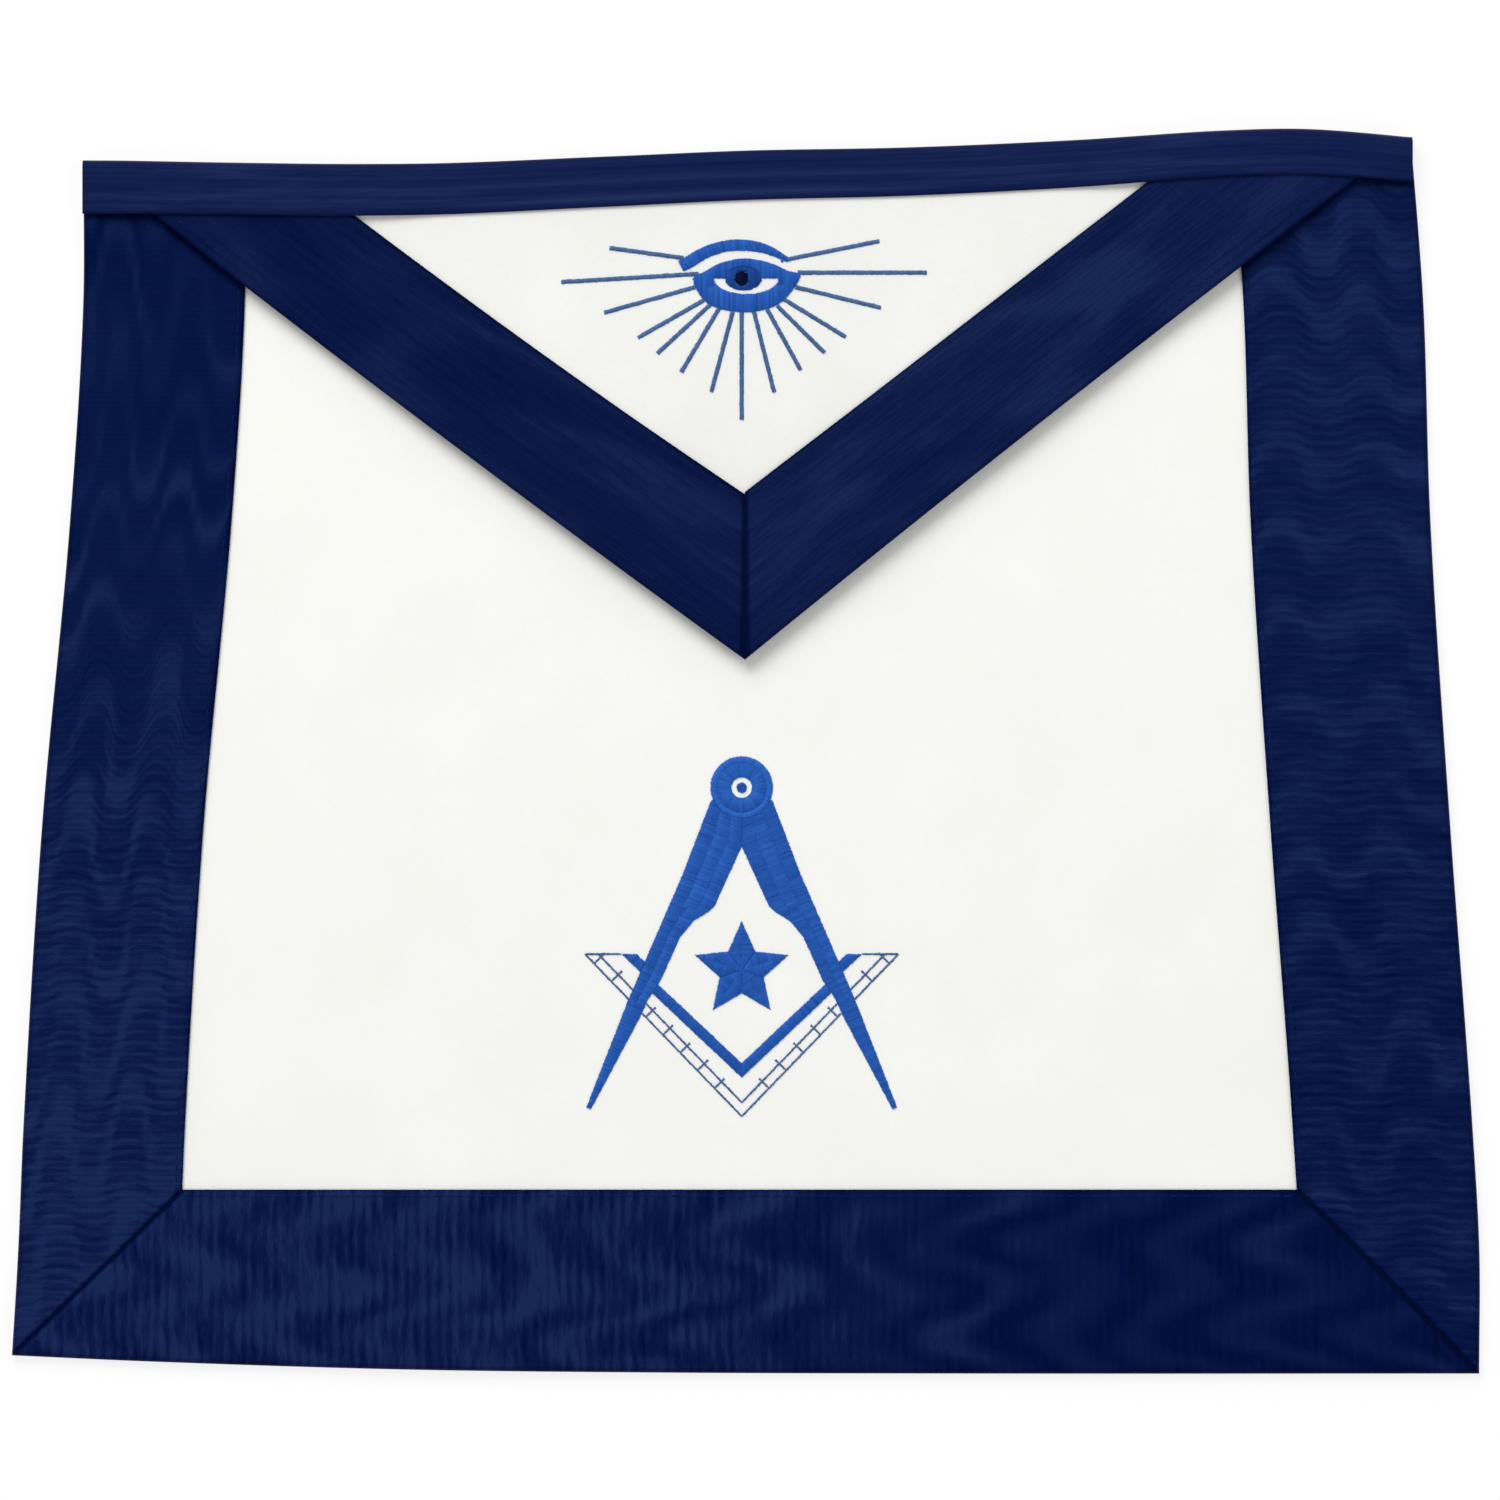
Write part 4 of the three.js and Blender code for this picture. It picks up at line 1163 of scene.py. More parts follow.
@dataclass
class Borders:
    """The three wide ribbons folded round the sides and the foot."""

    lay: Lay
    pitch: float = 0.00157
    columns_across: int = 26
    first_column: float = 0.003
    mitre_run: float = 0.02
    cut_share: float = 0.92

    def mitre_y(self, side: Side, share: float) -> float:
        """Height of the mitre line at a share of the border's breadth."""
        corner = float(self.lay.bottom_y(side.value * self.lay.sizes.bottom_width / 2))
        return lerp(corner, self.lay.bottom_border, share)

    def insets(self, width: float) -> Array:
        """Stations across the shown layer, close together at its free edge."""
        fold = self.lay.sizes.border_fold
        return shown_rows(width, len(PRESSED_ROWS), self.first_column, fold, self.columns_across)

    def beyond_cover(self, side: Side, x: Array, y: Array) -> Array:
        """Distance of a side border's points from the edge of the waistband or flap that covers it."""
        lay, sizes = self.lay, self.lay.sizes
        below_band = lay.top_y(x) - sizes.band_height * lay.band_taper(x) - y
        level = math.cos(math.atan2(sizes.flap_depth, sizes.top_width / 2))
        return np.minimum(below_band, (lay.flap_edge_y(side, x, 0) - y) * level)

    def leaf(self) -> Array:
        """Stations across the turned leaf."""
        return np.linspace(self.lay.sizes.border_fold, self.lay.sizes.turned_leaf, 4)

    def build_side(self, side: Side) -> Piece:
        """Builds a side's border.

        Args:
            side: Which side.

        Returns:
            The ribbon.
        """
        lay, sizes = self.lay, self.lay.sizes
        width = lay.border_width(side)

        def place(inset: float, share: Array) -> tuple[Array, Array]:
            """A point by its distance inside the edge and its share of the way up."""
            start = self.mitre_y(side, inset / width) + sizes.slit
            corner = float(lay.side_x(side, sizes.height)) - side.value * inset
            y = lerp(start, float(lay.top_y(corner)) - sizes.top_inset, share)
            return lay.side_x(side, y) - side.value * inset, y

        ribbon = FoldedRibbon(
            lay=lay,
            upper=self.insets(width),
            lower=self.leaf(),
            fold=sizes.border_fold,
            along=rows_for(sizes.height, self.pitch),
            place=place,
            upper_under=lay.border_under,
            lower_under=lay.over_band,
            ribs=RibRun.LEVEL,
            figure=SIDE_FIGURES[side],
            pitch=self.pitch,
            mitred=(True, False),
            beyond_cover=lambda x, y: self.beyond_cover(side, x, y),
        )
        return ribbon.parts().piece(f"{side.word}_border_ribbon", lay.shift)

    def build_bottom(self) -> Piece:
        """Builds the foot's border.

        Returns:
            The ribbon.
        """
        lay, sizes = self.lay, self.lay.sizes

        def place(inset: float, share: Array) -> tuple[Array, Array]:
            """A point by its distance inside the edge and its share of the way across."""
            up = inset / lay.bottom_border
            ends = {}
            for side in Side:
                edge = float(lay.side_x(side, self.mitre_y(side, up)))
                ends[side] = edge - side.value * (up * lay.border_width(side) + sizes.slit)
            x = lerp(ends[Side.LEFT], ends[Side.RIGHT], share)
            y = lerp(lay.bottom_y(x), lay.bottom_border, up)
            for side, end in ends.items():
                miss = self.mitre_y(side, up) - lerp(float(lay.bottom_y(end)), lay.bottom_border, up)
                y = y + miss * (1 - smoothstep(np.abs(x - end), 0, self.mitre_run))
            return x, y

        ribbon = FoldedRibbon(
            lay=lay,
            upper=self.insets(lay.bottom_border),
            lower=self.leaf(),
            fold=sizes.border_fold,
            along=rows_for(sizes.bottom_width, self.pitch),
            place=place,
            upper_under=lay.border_under,
            lower_under=lay.over_band,
            ribs=RibRun.UPRIGHT,
            figure=BOTTOM_FIGURE,
            pitch=self.pitch,
            mitred=(True, True),
        )
        return ribbon.parts().piece("bottom_border_ribbon", lay.shift)

    def build(self) -> dict[str, Piece]:
        """Builds all three, by the CAD node that each replaces."""
        made = {f"border_{side.word}": self.build_side(side) for side in Side}
        made["border_bottom"] = self.build_bottom()
        return made

    def dress(self, made: dict[str, Piece], wardrobe: Wardrobe) -> None:
        """Args:
            made: The pieces, by CAD node.
            wardrobe: The finishes.
        """
        sizes = self.lay.sizes
        shown = {
            "border_left": (self.lay.border_width(Side.LEFT), sizes.height),
            "border_right": (self.lay.border_width(Side.RIGHT), sizes.height),
            "border_bottom": (self.lay.bottom_border, sizes.bottom_width),
        }
        for node, piece in made.items():
            put_on(piece, wardrobe.ribbon, [node])


@dataclass
class Flap:
    """The pointed flap: its sheet and the two ribbons folded round its free edges."""

    lay: Lay
    blunt: float = 0.015
    pitch: float = 0.0021
    first_column: float = 0.0022
    cut_share: float = 0.85
    triangle_share: float = 0.52
    sheet_steps: tuple[int, int] = (96, 48)
    ribbon_steps: int = 90
    relief: float = 0.00004
    # Strength of the painted shade along the flap ribbons' fold and free edge.
    edge_dark: float = 0.45

    def build_sheet(self) -> Piece:
        """Builds the flap's sheet.

        Returns:
            The sheet.
        """
        lay, sizes = self.lay, self.lay.sizes
        inset = sizes.flap_ribbon - sizes.flap_lap
        along = lerp(self.blunt, 1, even(self.sheet_steps[1]))
        left = lay.flap_point(Side.LEFT, inset, along)
        right = lay.flap_point(Side.RIGHT, inset, along)
        share = even(self.sheet_steps[0])[:, None]
        x = lerp(left[0][None, :], right[0][None, :], share)
        y = lerp(left[1][None, :], right[1][None, :], share)
        face = np.stack([x, y, lay.flap_top(x, y)], -1)
        back = np.stack([x, y, lay.flap_under(x, y)], -1)
        corners, quads = closed_wall(face, back)
        return MeshParts(corners, quads).facing_out().piece("flap_sheet", lay.shift)

    def build_ribbon(self, side: Side) -> Piece:
        """Builds one side's ribbon.

        Args:
            side: Which side.

        Returns:
            The ribbon.
        """
        lay, sizes = self.lay, self.lay.sizes
        lap = sizes.flap_ribbon - sizes.flap_lap
        columns = int(round((sizes.flap_ribbon - sizes.flap_fold) / self.pitch)) * 4
        pressed = len(PRESSED_ROWS)
        upper = shown_rows(sizes.flap_ribbon, pressed, self.first_column, sizes.flap_fold, columns)
        ribbon = FoldedRibbon(
            lay=lay,
            upper=upper,
            lower=np.linspace(sizes.flap_fold, lap - sizes.gap, 12),
            fold=sizes.flap_fold,
            along=even(self.ribbon_steps),
            place=lambda at, share: lay.flap_point(side, at, share),
            upper_under=lay.flap_ribbon_under,
            lower_under=lay.flap_under,
            ribs=RibRun.LENGTHWISE,
            figure=FLAP_FIGURES[side],
            pitch=self.pitch,
            relief=self.relief,
            mitred=(True, False),
            edge_dark=self.edge_dark,
        )
        return ribbon.parts().piece(f"{side.word}_flap_ribbon", lay.shift)

    def build(self) -> dict[str, Piece]:
        """Builds the three pieces, by the CAD node that each replaces."""
        made = {"flap_panel": self.build_sheet()}
        made.update({f"flap_border_{side.word}": self.build_ribbon(side) for side in Side})
        return made

    def dress(self, made: dict[str, Piece], wardrobe: Wardrobe) -> None:
        """Args:
            made: The pieces, by CAD node.
            wardrobe: The finishes.
        """
        sheet = made["flap_panel"]
        put_on(sheet, wardrobe.flap_leather, ["flap_panel"])
        for side in Side:
            node = f"flap_border_{side.word}"
            piece = made[node]
            put_on(piece, wardrobe.flap_ribbon, [node])


@dataclass
class Waistband:
    """The narrow ribbon folded over the top edge."""

    lay: Lay
    pitch: float = 0.0018
    columns_across: int = 30
    steps_along: int = 190
    first_column: float = 0.0014
    relief: float = 0.00004
    # Strength of the painted shade along the band's fold and free edge.
    edge_dark: float = 0.5

    def build(self) -> Piece:
        """Builds the band.

        Returns:
            The ribbon.
        """
        lay, sizes = self.lay, self.lay.sizes

        def place(inset: float, share: Array) -> tuple[Array, Array]:
            """A point by its distance below the top edge and its share of the way across."""
            ends = [float(lay.side_x(side, sizes.height)) for side in Side]
            x = lerp(*ends, share)
            return x, lay.top_y(x) - inset * lay.band_taper(x)

        columns = self.columns_across
        upper = shown_rows(sizes.band_height, 3, self.first_column, sizes.band_fold, columns)
        ribbon = FoldedRibbon(
            lay=lay,
            upper=upper,
            lower=np.linspace(sizes.band_fold, sizes.band_back, 6),
            fold=sizes.band_fold,
            along=even(self.steps_along),
            place=place,
            upper_under=lay.band_under,
            lower_under=lambda x, y: np.zeros(np.shape(x)),
            ribs=RibRun.LENGTHWISE,
            figure=BAND_FIGURE,
            pitch=self.pitch,
            relief=self.relief,
            edge_dark=self.edge_dark,
        )
        return ribbon.parts().piece("waistband_ribbon", lay.shift)

    def dress(self, made: Piece, wardrobe: Wardrobe) -> None:
        put_on(made, wardrobe.band, ["waistband"])


def circle(centre: Array, radius_x: float, radius_y: float, count: int = 48) -> Outline:
    """A round outline."""
    turn = even(count)[:-1] * FULL_TURN
    return centre + np.stack([radius_x * np.cos(turn), radius_y * np.sin(turn)], -1)


def grown(points: Outline, by: float) -> Outline:
    """An outline with every edge moved out by the same amount.

    Args:
        points: The outline.
        by: How far its edges move.

    Returns:
        The larger outline.
    """
    after = np.roll(points, -1, 0)
    before = np.roll(points, 1, 0)
    area = np.sum(points[:, 0] * after[:, 1] - after[:, 0] * points[:, 1])
    into = (points - before) / np.linalg.norm(points - before, axis=1, keepdims=True)
    out = (after - points) / np.linalg.norm(after - points, axis=1, keepdims=True)
    both = into + out
    normal = np.stack([both[:, 1], -both[:, 0]], -1) * (1 if area > 0 else -1)
    stretch = 2 / np.maximum((normal**2).sum(1, keepdims=True), SHARPEST)
    return points + normal * by * stretch


def inside(point: Array, outline: Outline) -> bool:
    """Whether a point lies inside an outline.

    Args:
        point: The point.
        outline: The outline.

    Returns:
        True where it does.
    """
    start, end = outline, np.roll(outline, -1, 0)
    crosses = (start[:, 1] > point[1]) != (end[:, 1] > point[1])
    rise = np.where(crosses, end[:, 1] - start[:, 1], 1)
    at = start[:, 0] + (point[1] - start[:, 1]) * (end[:, 0] - start[:, 0]) / rise
    return bool(np.sum(crosses & (at > point[0])) % 2)


@dataclass
class Strands:
    """Satin strands of one embroidered piece, gathered first and then made into one mesh."""

    surface: Surface
    seed: int
    pitch: float = 0.00036
    width: float = 0.00046
    height: float = 0.00085
    longest: float = 0.0052
    overlap: float = 0.0004
    column_tone: float = 0.0
    shortest: float = 0.00015
    slack: float = 0.00005
    stagger: float = 0.06
    rounding: float = 0.00035
    sunk: float = 0.00012
    full_rise: float = 0.004
    uneven_tone: float = 0.13
    ends: list[tuple[Array, Array, float]] = field(default_factory=list)

    def __post_init__(self) -> None:
        """Starts the seeded draws."""
        self.rng = np.random.default_rng(self.seed)

    def stitch(self, start: Array, end: Array, tone: float = 0.0) -> None:
        """Adds one strand, with its ends a little uneven.

        Args:
            start: Its first end.
            end: Its other end.
            tone: How much lighter it is than the rest.
        """
        length = float(np.linalg.norm(end - start))
        if length < self.shortest:
            return
        run = (end - start) / length
        slack = self.rng.normal(0, self.slack, 2)
        self.ends.append((start - run * slack[0], end + run * slack[1], tone))

    def fill(self, outline: Outline, turn: float, cuts: Sequence[Outline] = ()) -> None:
        """Fills an outline with parallel strands.

        Args:
            outline: The outline to fill.
            turn: Direction of the strands, in radians from X.
            cuts: Outlines that stay bare.
        """
        run = np.array([math.cos(turn), math.sin(turn)])
        aside = np.array([-run[1], run[0]])
        shapes = [outline, *cuts]
        reach = outline @ aside
        for number, offset in enumerate(np.arange(reach.min() + self.pitch / 2, reach.max(), self.pitch)):
            marks = [self.crossings(shape, run, aside, offset) for shape in shapes]
            places = np.sort(np.concatenate(marks))
            kept: list[list[float]] = []
            for low, high in zip(places[:-1], places[1:]):
                middle = (low + high) / 2
                within = [int(np.sum(mark < middle)) % 2 == 1 for mark in marks]
                if not within[0] or any(within[1:]):
                    continue
                if kept and abs(kept[-1][1] - low) < SAME_PLACE:
                    kept[-1][1] = high
                else:
                    kept.append([low, high])
            for low, high in kept:
                self.split(low * run + offset * aside, high * run + offset * aside, number)

    def crossings(self, shape: Outline, run: Array, aside: Array, offset: float) -> Array:
        """Where a line crosses an outline, along the line.

        Args:
            shape: The outline.
            run: Direction of the line.
            aside: Direction square to it.
            offset: The line's place aside.

        Returns:
            Sorted places along the line.
        """
        start, end = shape, np.roll(shape, -1, 0)
        first, last = start @ aside - offset, end @ aside - offset
        hit = (first > 0) != (last > 0)
        share = first[hit] / (first[hit] - last[hit])
        return np.sort((start[hit] + (end[hit] - start[hit]) * share[:, None]) @ run)

    def split(self, start: Array, end: Array, number: int) -> None:
        """Adds a run as one strand, or as several columns that overlap a little where it is long.

        Args:
            start: Its first end.
            end: Its other end.
            number: The row's number, for the stagger.
        """
        length = float(np.linalg.norm(end - start))
        count = max(int(math.ceil(length / self.longest)), 1)
        stagger = (number % 2 - 0.5) * self.stagger
        marks = [0.0, *[(step + stagger) / count for step in range(1, count)], 1.0]
        tuck = self.overlap / 2 / max(length, self.overlap)
        for place, (low, high) in enumerate(zip(marks[:-1], marks[1:])):
            low -= tuck if place > 0 else 0
            high += tuck if place < count - 1 else 0
            self.stitch(lerp(start, end, low), lerp(start, end, high), self.column_tone * (place % 2))

    def ladder(self, one: Outline, other: Outline) -> None:
        """Fills the band between two edges with strands across it.

        Args:
            one: One edge.
            other: The other, with as many points.
        """
        middle = (one + other) / 2
        length = np.concatenate([[0], np.cumsum(np.linalg.norm(np.diff(middle, axis=0), axis=1))])
        places = np.arange(self.pitch / 2, length[-1], self.pitch)
        starts, finishes = (
            np.stack([np.interp(places, length, edge[:, k]) for k in range(2)], -1) for edge in (one, other)
        )
        for start, end in zip(starts, finishes):
            self.stitch(start, end)

    def strip(self, start: Array, end: Array, width: float, bare: Sequence[Outline] = ()) -> None:
        """Satin over a straight strip, left out where its middle is in one of the bare outlines.

        Args:
            start: Where the strip starts.
            end: Where it ends.
            width: Its width.
            bare: Outlines where no strand is sewn.
        """
        length = float(np.linalg.norm(end - start))
        run = (end - start) / length
        half = np.array([-run[1], run[0]]) * width / 2
        for place in np.arange(self.pitch / 2, length, self.pitch):
            middle = start + run * place
            if not any(inside(middle, outline) for outline in bare):
                self.stitch(middle - half, middle + half)

    def spokes(self, centre: Array, near: float, far: float, tone: float = 0.0) -> None:
        """Strands from an inner to an outer circle."""
        count = int(FULL_TURN * far / self.pitch)
        for turn in even(count)[:-1] * FULL_TURN:
            out = np.array([math.cos(turn), math.sin(turn)])
            self.stitch(centre + out * near, centre + out * far, tone)

    def run_along(self, line: Array, length: float, bare: float) -> None:
        """A row of running stitches along a line."""
        walked = np.concatenate([[0], np.cumsum(np.linalg.norm(np.diff(line, axis=0), axis=1))])
        for place in np.arange(bare, walked[-1] - length, length + bare):
            marks = (place, place + length)
            ends = [np.array([np.interp(mark, walked, line[:, k]) for k in range(2)]) for mark in marks]
            self.stitch(*ends)

    def parts(self) -> MeshParts:
        """Makes the gathered strands into one mesh of closed half rounds.

        Returns:
            The mesh, with a tone painted on each strand.
        """
        start = np.array([ends[0] for ends in self.ends])
        end = np.array([ends[1] for ends in self.ends])
        count = len(start)
        across = end - start
        length = np.linalg.norm(across, axis=1)
        run = across / length[:, None]
        aside = np.stack([-run[:, 1], run[:, 0]], -1)
        ramp = np.minimum(0.3, self.rounding / length)
        share = np.stack([0 * ramp, ramp, 0.5 + 0 * ramp, 1 - ramp, 1 + 0 * ramp], -1)
        rise, ring = np.array(STRAND_RISE), np.array(STRAND_RING)
        peak = self.height * np.clip(0.55 + length / self.full_rise, 0.6, 1)
        peak = peak * self.rng.uniform(0.93, 1.07, count)
        wide = self.width * self.rng.uniform(0.94, 1.06, count)
        middle = start[:, None] + across[:, None] * share[..., None]
        plan = middle[:, :, None] + (aside * wide[:, None])[:, None, None] * ring[None, None, :, :1]
        floor = self.surface(middle[..., 0], middle[..., 1])[..., None]
        high = floor - self.sunk + (peak[:, None] * rise)[..., None] * ring[None, None, :, 1]
        corners = np.concatenate([plan, high[..., None]], -1).reshape(-1, 3)
        steps, sides = len(rise), len(ring)
        number = np.arange(count * steps * sides).reshape(count, steps, sides)
        turned = np.roll(number, -1, 2)
        tube = np.stack([number[:, :-1], turned[:, :-1], turned[:, 1:], number[:, 1:]], -1).reshape(-1, 4)
        first, last = number[:, 0], number[:, -1]
        caps = [first[:, [3, 2, 1, 0]], first[:, [5, 4, 3, 0]], last[:, [0, 1, 2, 3]], last[:, [0, 3, 4, 5]]]
        quads = np.concatenate([tube, *caps])
        girth = np.broadcast_to(np.arange(sides) / sides, (count, steps, sides))
        along = (share * length[:, None] + self.rng.uniform(0, 0.002, count)[:, None])[..., None]
        uv = np.stack([girth, np.broadcast_to(along, girth.shape)], -1).reshape(-1, 2)
        tone = 0.5 + np.array([ends[2] for ends in self.ends])
        tone = tone + self.rng.normal(0, self.uneven_tone, count)
        return MeshParts(corners, quads, uv, {"tone": np.repeat(tone, steps * sides)}).facing_out()


def sewn(books: dict[str, Strands], lay: Lay) -> dict[str, Piece]:
    """Makes the pieces of gathered strands, by the CAD node that each replaces."""
    made = {}
    for node, strands in books.items():
        made[node] = strands.parts().piece(f"{node}_stitches", lay.shift, SHARP_STRAND)
    return made


@dataclass
class Emblem:
    """Compasses, square and star embroidered on the panel, hung from the hinge."""

    lay: Lay
    hinge_radius: float = 0.0091
    hinge_ring: float = 0.0073
    hinge_hole: float = 0.003
    pivot_radius: float = 0.0015
    leg_spread: float = 0.0456
    leg_drop: float = 0.0934
    square_top: float = 0.0484
    square_point: float = 0.0801
    square_width: float = 0.0031
    square_reach: float = 0.0336
    scale_point: float = 0.0956
    scale_reach: float = 0.0456
    scale_breadth: float = 0.0028
    scale_line: float = 0.00058
    scale_first: float = 0.0114
    scale_step: float = 0.0072
    scale_tick: float = 0.0014
    star_drop: float = 0.0531
    star_radius: float = 0.0143
    star_waist: float = 0.47
    leg_lean: float = 0.8
    leg_middle: float = 0.93
    leg_tone: float = 0.1
    hook_from: float = 0.4
    ring_tone: float = 0.3
    scale_pitch: float = 0.0004
    pivot_turn: float = 0.4
    points: int = 5
    leg_out: tuple[float, ...] = (
        *(0.198, 0.377, 0.6, 0.73, 0.993, 0.962, 0.65, 0.6),
        *(0.518, 0.395, 0.309, 0.215, 0.175, 0, 0),
    )
    leg_down: tuple[float, ...] = (
        *(0.04, 0.268, 0.519, 0.666, 0.995, 1, 0.715, 0.66),
        *(0.6, 0.466, 0.415, 0.387, 0.369, 0.182, 0.04),
    )

    def under(self, out: float, down: float) -> Array:
        """A point by its distance out from the hinge and down from it."""
        return np.array([HINGE[0] + out, HINGE[1] - down])

    def leg(self, side: Side) -> Outline:
        """Outline of a compass leg.

        Args:
            side: Which side.

        Returns:
            Its corners.
        """
        return np.array(
            [
                self.under(side.value * (out * self.leg_spread - SEWN_INTO), down * self.leg_drop)
                for out, down in zip(self.leg_out, self.leg_down)
            ]
        )

    def strands(self, seed: int) -> Strands:
        """An empty set of strands on the panel."""
        return Strands(self.lay.body_top, seed)

    def legs(self) -> dict[str, Strands]:
        """Strands of both legs, across each leg's own direction.

        Returns:
            The strands, by the CAD node that they stand for.
        """
        reach = self.hinge_radius + TOUCHING
        rim = circle(self.under(0, 0), reach, reach)
        lean = math.atan2(self.leg_spread * self.leg_lean, self.leg_drop)
        made = {}
        for side in Side:
            strands = self.strands(200 + side.value)
            strands.column_tone = self.leg_tone
            strands.fill(self.leg(side), side.value * lean, [rim])
            made[f"compass_leg_{side.word}"] = strands
        return made

    def hub(self) -> dict[str, Strands]:
        """Strands of the hinge disc and its pivot.

        Returns:
            The strands, by the CAD node that they stand for.
        """
        disc = self.strands(210)
        disc.spokes(self.under(0, 0), self.hinge_hole, self.hinge_ring + disc.overlap / 2)
        ring = self.hinge_ring - disc.overlap / 2
        disc.spokes(self.under(0, 0), ring, self.hinge_radius, self.ring_tone)
        pivot = self.strands(211)
        pivot.fill(circle(self.under(0, 0), self.pivot_radius, self.pivot_radius, 24), self.pivot_turn)
        return {"compass_hinge_disc": disc, "compass_pivot": pivot}

    def square(self) -> dict[str, Strands]:
        """Strands of the square's solid edge: its arms between the legs and its hooks outside them.

        Returns:
            The strands, by the CAD node that they stand for.
        """
        slope = (self.square_point - self.square_top) / self.square_reach
        thick = self.square_width * math.hypot(1, slope)
        legs = [grown(self.leg(side), TOUCHING) for side in Side]
        made = {place: self.strands(220 + number) for number, place in enumerate(("left", "middle", "right"))}
        for side in Side:
            for hook in (False, True):
                inner = self.square_reach - (self.square_width if hook else 0)
                outer = inner + thick / slope
                point = self.square_point - (self.square_width * slope if hook else 0)
                arm = np.array(
                    [
                        self.under(0, point),
                        self.under(0, point + thick),
                        self.under(side.value * outer, self.square_top),
                        self.under(side.value * inner, self.square_top),
                    ]
                )
                strands = self.strands(230)
                strands.fill(arm, -side.value * math.atan2(1, slope), legs)
                wanted = made[side.word if hook else "middle"]
                limit = self.leg_spread * self.hook_from
                for start, end, tone in strands.ends:
                    away = abs((start[0] + end[0]) / 2 - HINGE[0])
                    beyond = away > limit and self.outside_leg(side, (start + end) / 2)
                    if beyond == hook:
                        wanted.ends.append((start, end, tone))
        return {f"square_edge_{place}": strands for place, strands in made.items()}

    def outside_leg(self, side: Side, point: Array) -> bool:
        """Whether a point is further out than the middle line of the leg."""
        down = (HINGE[1] - point[1]) / self.leg_drop
        middle = self.leg_middle * down * self.leg_spread
        return abs(point[0] - HINGE[0]) > middle

    def scale(self) -> dict[str, Strands]:
        """Strands of the square's scale: two thin lines, rungs and a line along the top.

        Returns:
            The strands, by the CAD node that they stand for.
        """
        rise = self.scale_point - self.square_top
        slope = rise / self.scale_reach
        apart = self.scale_breadth * math.hypot(1, slope)
        length = math.hypot(rise, self.scale_reach)
        edge = self.square_width * math.hypot(1, (self.square_point - self.square_top) / self.square_reach)
        square_slope = (self.square_point - self.square_top) / self.square_reach
        hook_outer = self.square_reach + edge / square_slope - self.square_width
        legs = [grown(self.leg(side), TOUCHING) for side in Side]
        made = {place: self.strands(240 + number) for number, place in enumerate(("left", "middle", "right"))}
        for side in Side:
            lines = [
                (self.under(0, self.scale_point), self.under(side.value * self.scale_reach, self.square_top)),
                (
                    self.under(0, self.scale_point - apart),
                    self.under(side.value * (rise - apart) / slope, self.square_top),
                ),
                (
                    self.under(side.value * (hook_outer + TOUCHING), self.square_top),
                    self.under(side.value * self.scale_reach, self.square_top),
                ),
            ]
            square = np.array([-side.value * rise, self.scale_reach]) / length
            for step in np.arange(self.scale_first, length, self.scale_step):
                share = step / length
                foot = self.under(side.value * share * self.scale_reach, self.scale_point - share * rise)
                lines.append((foot, foot + square * (self.scale_breadth + self.scale_tick)))
            for start, end in lines:
                strands = self.strands(250)
                strands.pitch = self.scale_pitch
                strands.strip(start, end, self.scale_line, legs)
                for one, other, tone in strands.ends:
                    outer = self.outside_leg(side, (one + other) / 2)
                    made[side.word if outer else "middle"].ends.append((one, other, tone))
        return {f"square_scale_{place}": strands for place, strands in made.items()}

    def star(self) -> dict[str, Strands]:
        """Strands of the star, across each of its points.

        Returns:
            The strands, by the CAD node that they stand for.
        """
        centre = self.under(0, self.star_drop)
        strands = self.strands(260)
        half_point = math.pi / self.points
        for point in range(self.points):
            turn = point * FULL_TURN / self.points + math.pi / 2
            out = np.array([math.cos(turn), math.sin(turn)])
            tip = centre + self.star_radius * out
            waist = [
                centre
                + self.star_radius
                * self.star_waist
                * np.array([math.cos(turn + side * half_point), math.sin(turn + side * half_point)])
                for side in (-1, 1)
            ]
            back = centre - out * strands.overlap / 2
            strands.fill(np.array([back, waist[0], tip, waist[1]]), turn + math.pi / 2)
        return {"star": strands}

    def build(self) -> dict[str, Piece]:
        """Builds every embroidered piece, by the CAD node that it replaces."""
        books = {**self.legs(), **self.hub(), **self.square(), **self.scale(), **self.star()}
        return sewn(books, self.lay)

    def dress(self, made: dict[str, Piece], wardrobe: Wardrobe) -> None:
        """Puts the thread's finish on."""
        for node, piece in made.items():
            finish = wardrobe.slim_thread if "scale" in node else wardrobe.thread
            put_on(piece, finish, [node])


